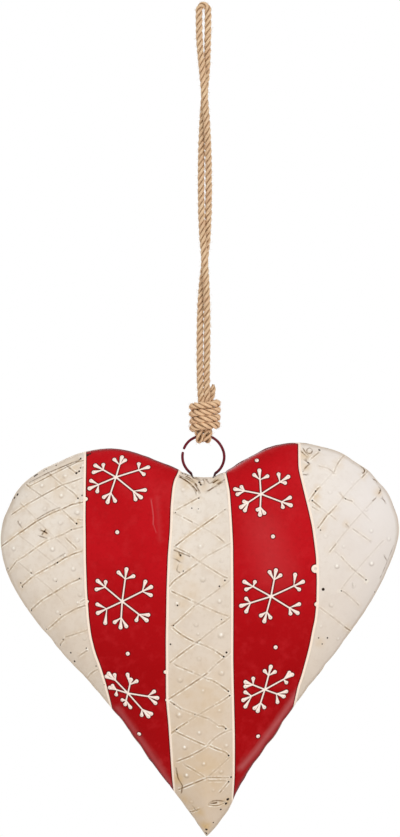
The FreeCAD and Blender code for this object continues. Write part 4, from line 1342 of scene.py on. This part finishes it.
def enamel_material():
    """Tinplate, dip-painted cream and red, pattern brushed white, then rubbed with brown."""
    material, tree, shader = new_material("enamelled_tinplate")
    place = add(tree, "ShaderNodeTexCoord").outputs["Object"]
    across, _deep, height = add(tree, "ShaderNodeSeparateXYZ", {0: place}).outputs
    stripe, stroke, pit, crease, light, scuff_and_sheen, speck_and_hole_shade, stain, rim = [
        add(tree, "ShaderNodeAttribute", attribute_name=name).outputs["Fac"]
        for name in (
            "stripe", "stroke", "pit", "crease", "light", "scuff_and_sheen", "speck_and_hole_shade", "stain", "rim")]
    # Clouds of thicker and thinner paint 30 mm across, mottling of 7 mm, dashes of 4 mm, and
    # grit of 2 mm, which is drawn coarser than it is, to show.
    cloud, mottle, dash, grit = [
        add(tree, "ShaderNodeTexNoise", {
            "Vector": place, "Scale": per_metre, "Detail": 3.0, "Roughness": 0.6}).outputs[0]
        for per_metre in (35.0, 140.0, 230.0, 420.0)]
    # The brown was rubbed off unevenly, so a line is a row of darker and paler dashes; the
    # painted highlight on the lips is broken up the same way.
    rubbed, line, lip = [
        add(tree, "ShaderNodeMath", {
            0: value,
            1: add(tree, "ShaderNodeMapRange", {
                0: patch, 1: low, 2: high, 3: least, 4: 1.0}).outputs[0]},
            operation="MULTIPLY").outputs[0]
        for value, patch, low, high, least in (
            (stain, mottle, 0.32, 0.58, 0.45), (crease, dash, 0.4, 0.58, 0.35),
            (light, grit, 0.58, 0.42, 0.3))]
    # Thin and thick paint, a painted cooler light on the right, painted shade low down, brown
    # in the stains, painted shade at the steep rim, brown in the grooves, and a painted
    # highlight on the raised lips.
    cream = coated(tree, paint("#E8DED2"), [
        (cloud, 0.35, 0.7, 1.0, "#E2D6C8"), (mottle, 0.5, 0.68, 0.4, "#D8CABB"),
        (grit, 0.52, 0.7, 0.3, "#CDBDA8"), (across, 0.045, 0.1, 0.8, "#E6DFDB"),
        (height, -0.3, -0.48, 0.7, "#CFB79D"), (rubbed, 0.0, 0.9, 0.9, "#D2B07C"),
        (rim, 0.982, 1.0, 0.55, "#B9A48C"), (lip, 0.1, 1.0, 0.85, "#FFFAF0"),
        (line, 0.0, 0.85, 1.0, "#6A4C28")])
    # The same in red, with pale scuffs and painted sheen, painted shade low down and at the
    # steep rim, and painted shade at the foot of the stripes' ribs and round the strokes.
    red = coated(tree, paint("#BC0E18"), [
        (cloud, 0.35, 0.7, 1.0, "#B10911"), (height, -0.33, -0.4, 0.9, "#9F0005"),
        (grit, 0.5, 0.7, 0.3, "#A0060C"), (mottle, 0.5, 0.7, 0.25, "#CC2A30"),
        (scuff_and_sheen, 0.0, 1.0, 1.0, "#E0A0A0"), (rim, 0.98, 0.997, 0.8, "#6E050C"),
        (stripe, 0.9, 0.5, 1.0, "#62050A"), (stroke, -0.8, -0.42, 1.0, "#62050A")])
    inside = add(tree, "ShaderNodeMapRange", {0: stripe, 1: -0.05, 2: 0.1}).outputs[0]
    colour = add(tree, "ShaderNodeMix", {
        0: inside, 6: cream, 7: red}, data_type="RGBA").outputs[2]
    rib = add(tree, "ShaderNodeMath", {
        0: add(tree, "ShaderNodeMapRange", {0: stripe, 1: -1.5, 2: -1.05}).outputs[0],
        1: add(tree, "ShaderNodeMapRange", {0: stripe, 1: 0.12, 2: 0.0}).outputs[0]},
        operation="MULTIPLY").outputs[0]
    # White brushed on the ribs and strokes, worn through in the pits and darkened there as
    # painted shade, and dark chips, some of them painted shade at the wire's holes.
    colour = coated(tree, colour, [
        (rib, 0.0, 1.0, 0.95, "#FFEBD8"), (stroke, -0.1, 0.06, 1.0, "#FFEEE2"),
        (pit, 0.55, 0.2, 0.55, "#B98874"), (speck_and_hole_shade, -0.12, 0.12, 1.0, "#2A1C14")])
    rough = add(tree, "ShaderNodeMapRange", {
        0: grit, 1: 0.3, 2: 0.7, 3: 0.36, 4: 0.5}).outputs[0]
    bump = add(tree, "ShaderNodeBump", {
        "Strength": 0.25, "Distance": 0.12 * MM, "Height": grit}).outputs[0]
    tree.links.new(colour, shader.inputs["Base Color"])
    tree.links.new(rough, shader.inputs["Roughness"])
    tree.links.new(bump, shader.inputs["Normal"])
    shader.inputs["Specular IOR Level"].default_value = 0.06
    return material


def make_ring(lacquer):
    """The ring of wire, bent by hand round a peg, its cut ends a small gap apart."""
    start, end = math.radians(WIRE_GAP[1]), math.radians(WIRE_GAP[0] + 360)
    turns = np.linspace(start, end, 140)
    around = 12
    verts = []
    for n, turn in enumerate(turns):
        bent = noise.noise((math.cos(turn) * 1.3, math.sin(turn) * 1.3, 4.2)) * 0.25 * MM
        reach = float(wire_reach(turn)) + bent
        # The cut ends are filed a little round.
        from_end = min(n, len(turns) - 1 - n)
        thick = WIRE_RADIUS * min(1.0, 0.72 + 0.14 * from_end)
        for k in range(around):
            side = math.tau * k / around
            out = reach + thick * math.cos(side)
            verts.append((
                WIRE_CENTRE[0] + out * math.cos(turn), thick * math.sin(side),
                WIRE_CENTRE[1] + out * math.sin(turn)))
    faces = tube_faces(0, len(turns), around, inside_out=True)
    piece = new_piece("wire_ring", mesh_from("wire_ring", verts, faces), lacquer)
    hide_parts("hanging_ring")
    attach(piece, "ring")


def make_seam(solder):
    """The bead of solder round the seam, painted over, in two runs between the holes."""
    _angle, flat = rim_points(0.9 * MM)
    holes = [at_rim(a) for a in HOLE_ANGLES]
    clear = np.min([np.linalg.norm(flat - h, axis=1) for h in holes], axis=0) > SEAM_CLEAR
    start = int(np.nonzero(~clear)[0][0])
    order = np.roll(np.arange(len(flat)), -start)
    runs, run = [], []
    for i in order:
        if clear[i]:
            run.append(i)
        elif run:
            runs.append(run)
            run = []
    if run:
        runs.append(run)
    ahead, behind = np.roll(flat, -1, axis=0), np.roll(flat, 1, axis=0)
    way = unit(ahead - behind)
    out = np.stack([way[:, 1], -way[:, 0]], axis=1)
    verts, faces, spots = [], [], []
    around = 8
    for run in runs:
        first = len(verts)
        for n, i in enumerate(run):
            x, z = flat[i]
            lump = noise.noise((x * 260, z * 260, 1.3))
            knob = max(0.0, noise.noise((x * 120, z * 120, 7.7)) - 0.25)
            ends = min(1.0, 0.35 + n / 3, 0.35 + (len(run) - 1 - n) / 3)
            tall = (0.34 + 0.1 * lump + 0.6 * knob) * ends * MM
            wide = (0.8 + 0.15 * lump) * ends * MM
            middle = flat[i] - out[i] * 0.16 * MM
            for k in range(around):
                turn = math.tau * k / around
                spot = middle + out[i] * tall * math.cos(turn)
                verts.append((
                    spot[0] + float(tip_lean(spot[1])), wide * math.sin(turn), spot[1]))
                spots.append(flat[i])
        faces += tube_faces(first, len(run), around)
    mesh = mesh_from("solder_seam", verts, faces)
    pattern = Pattern(to_skin(np.array(spots)))
    put_values(mesh, stripe=pattern.stripe / MM)
    piece = new_piece("solder_seam", mesh, solder)
    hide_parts("rim_solder")
    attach(piece, "heart")


def solder_material():
    """Soft solder laid by hand and painted over, so lumpy, with bare grey and brown spots."""
    material, tree, shader = new_material("painted_solder")
    place = add(tree, "ShaderNodeTexCoord").outputs["Object"]
    stripe = add(tree, "ShaderNodeAttribute", attribute_name="stripe").outputs["Fac"]
    # Bare spots 4 mm apart.
    bare = add(tree, "ShaderNodeTexNoise", {
        "Vector": place, "Scale": 230.0, "Detail": 3.0}).outputs[0]
    # Cream by the cream panels; by the red stripes dark maroon, red paint darkened as painted
    # shade along the seam's edge.
    colour = coated(tree, paint("#D2C0AA"), [
        (stripe, -0.2, 0.4, 1.0, "#5E0810"), (bare, 0.58, 0.72, 1.0, "#6B4A30")])
    tree.links.new(colour, shader.inputs["Base Color"])
    shader.inputs["Roughness"].default_value = 0.5
    shader.inputs["Specular IOR Level"].default_value = 0.2
    return material


def wire_material():
    """Soft iron wire with a dark red-brown lacquer, thin enough to show the drawn metal."""
    material, tree, shader = new_material("lacquered_wire")
    place = add(tree, "ShaderNodeTexCoord").outputs["Object"]
    # The lacquer is thicker and thinner over about 4 mm.
    patch = add(tree, "ShaderNodeTexNoise", {
        "Vector": place, "Scale": 260.0, "Detail": 3.0}).outputs[0]
    # Darker low down: painted shade where the wire goes into the holes of the tin.
    height = add(tree, "ShaderNodeSeparateXYZ", {0: place}).outputs[2]
    colour = coated(tree, paint("#480A16"), [
        (patch, 0.0, 1.0, 1.0, "#801B2B"), (height, -0.278, -0.2815, 0.8, "#22060E")])
    tree.links.new(colour, shader.inputs["Base Color"])
    shader.inputs["Roughness"].default_value = 0.38
    shader.inputs["Specular IOR Level"].default_value = 0.15
    bump = add(tree, "ShaderNodeBump", {
        "Strength": 0.3, "Distance": 0.08 * MM, "Height": patch}).outputs[0]
    tree.links.new(bump, shader.inputs["Normal"])
    return material


def make_surroundings():
    """Pale floor, soft lamps, and white to the camera all round."""
    far, low = 2.0, -0.75
    floor = mesh_from(
        "floor", [(-far, -far, low), (far, -far, low), (far, far, low), (-far, far, low)],
        [(0, 1, 2, 3)], False)
    material, _tree, shader = new_material("matt_white_floor")
    shader.inputs["Base Color"].default_value = paint("#F2F1EF")
    shader.inputs["Roughness"].default_value = 0.9
    new_piece("floor", floor, material)

    world = bpy.data.worlds.new("studio")
    scene.world = world
    world.use_nodes = True
    tree = world.node_tree
    tree.nodes.clear()
    ray = add(tree, "ShaderNodeLightPath").outputs
    seen = add(tree, "ShaderNodeMath", {
        0: ray["Is Camera Ray"], 1: ray["Is Glossy Ray"]}, operation="MAXIMUM").outputs[0]
    seen = add(tree, "ShaderNodeMath", {
        0: seen, 1: ray["Is Transmission Ray"]}, operation="MAXIMUM").outputs[0]
    room = add(tree, "ShaderNodeBackground", {0: (1, 1, 1, 1), 1: 0.62}).outputs[0]
    white = add(tree, "ShaderNodeBackground", {0: (1, 1, 1, 1), 1: 1.0}).outputs[0]
    both = add(tree, "ShaderNodeMixShader", {0: seen, 1: room, 2: white}).outputs[0]
    add(tree, "ShaderNodeOutputWorld", {0: both})

    for name, place, aim, width, power in (
            ("key_lamp", (0.9, -1.5, 0.75), (0.03, 0, -0.32), 0.9, 15.0),
            ("fill_lamp", (-1.3, -1.3, -0.1), (0, 0, -0.36), 1.1, 4.0),
            ("back_lamp", (-0.6, 1.5, 0.5), (0, 0, -0.3), 1.0, 9.0)):
        lamp = bpy.data.lights.new(name, "AREA")
        lamp.shape = "DISK"
        lamp.size = width
        lamp.energy = power
        holder = bpy.data.objects.new(name, lamp)
        holder.location = place
        holder.rotation_euler = (Vector(aim) - Vector(place)).to_track_quat(
            "-Z", "Y").to_euler()
        collection.objects.link(holder)


def main():
    make_camera()
    make_cords(jute_material(), hair_material())
    make_halves(enamel_material())
    make_seam(solder_material())
    make_ring(wire_material())
    make_surroundings()
    scene.view_settings.view_transform = "Standard"


main()
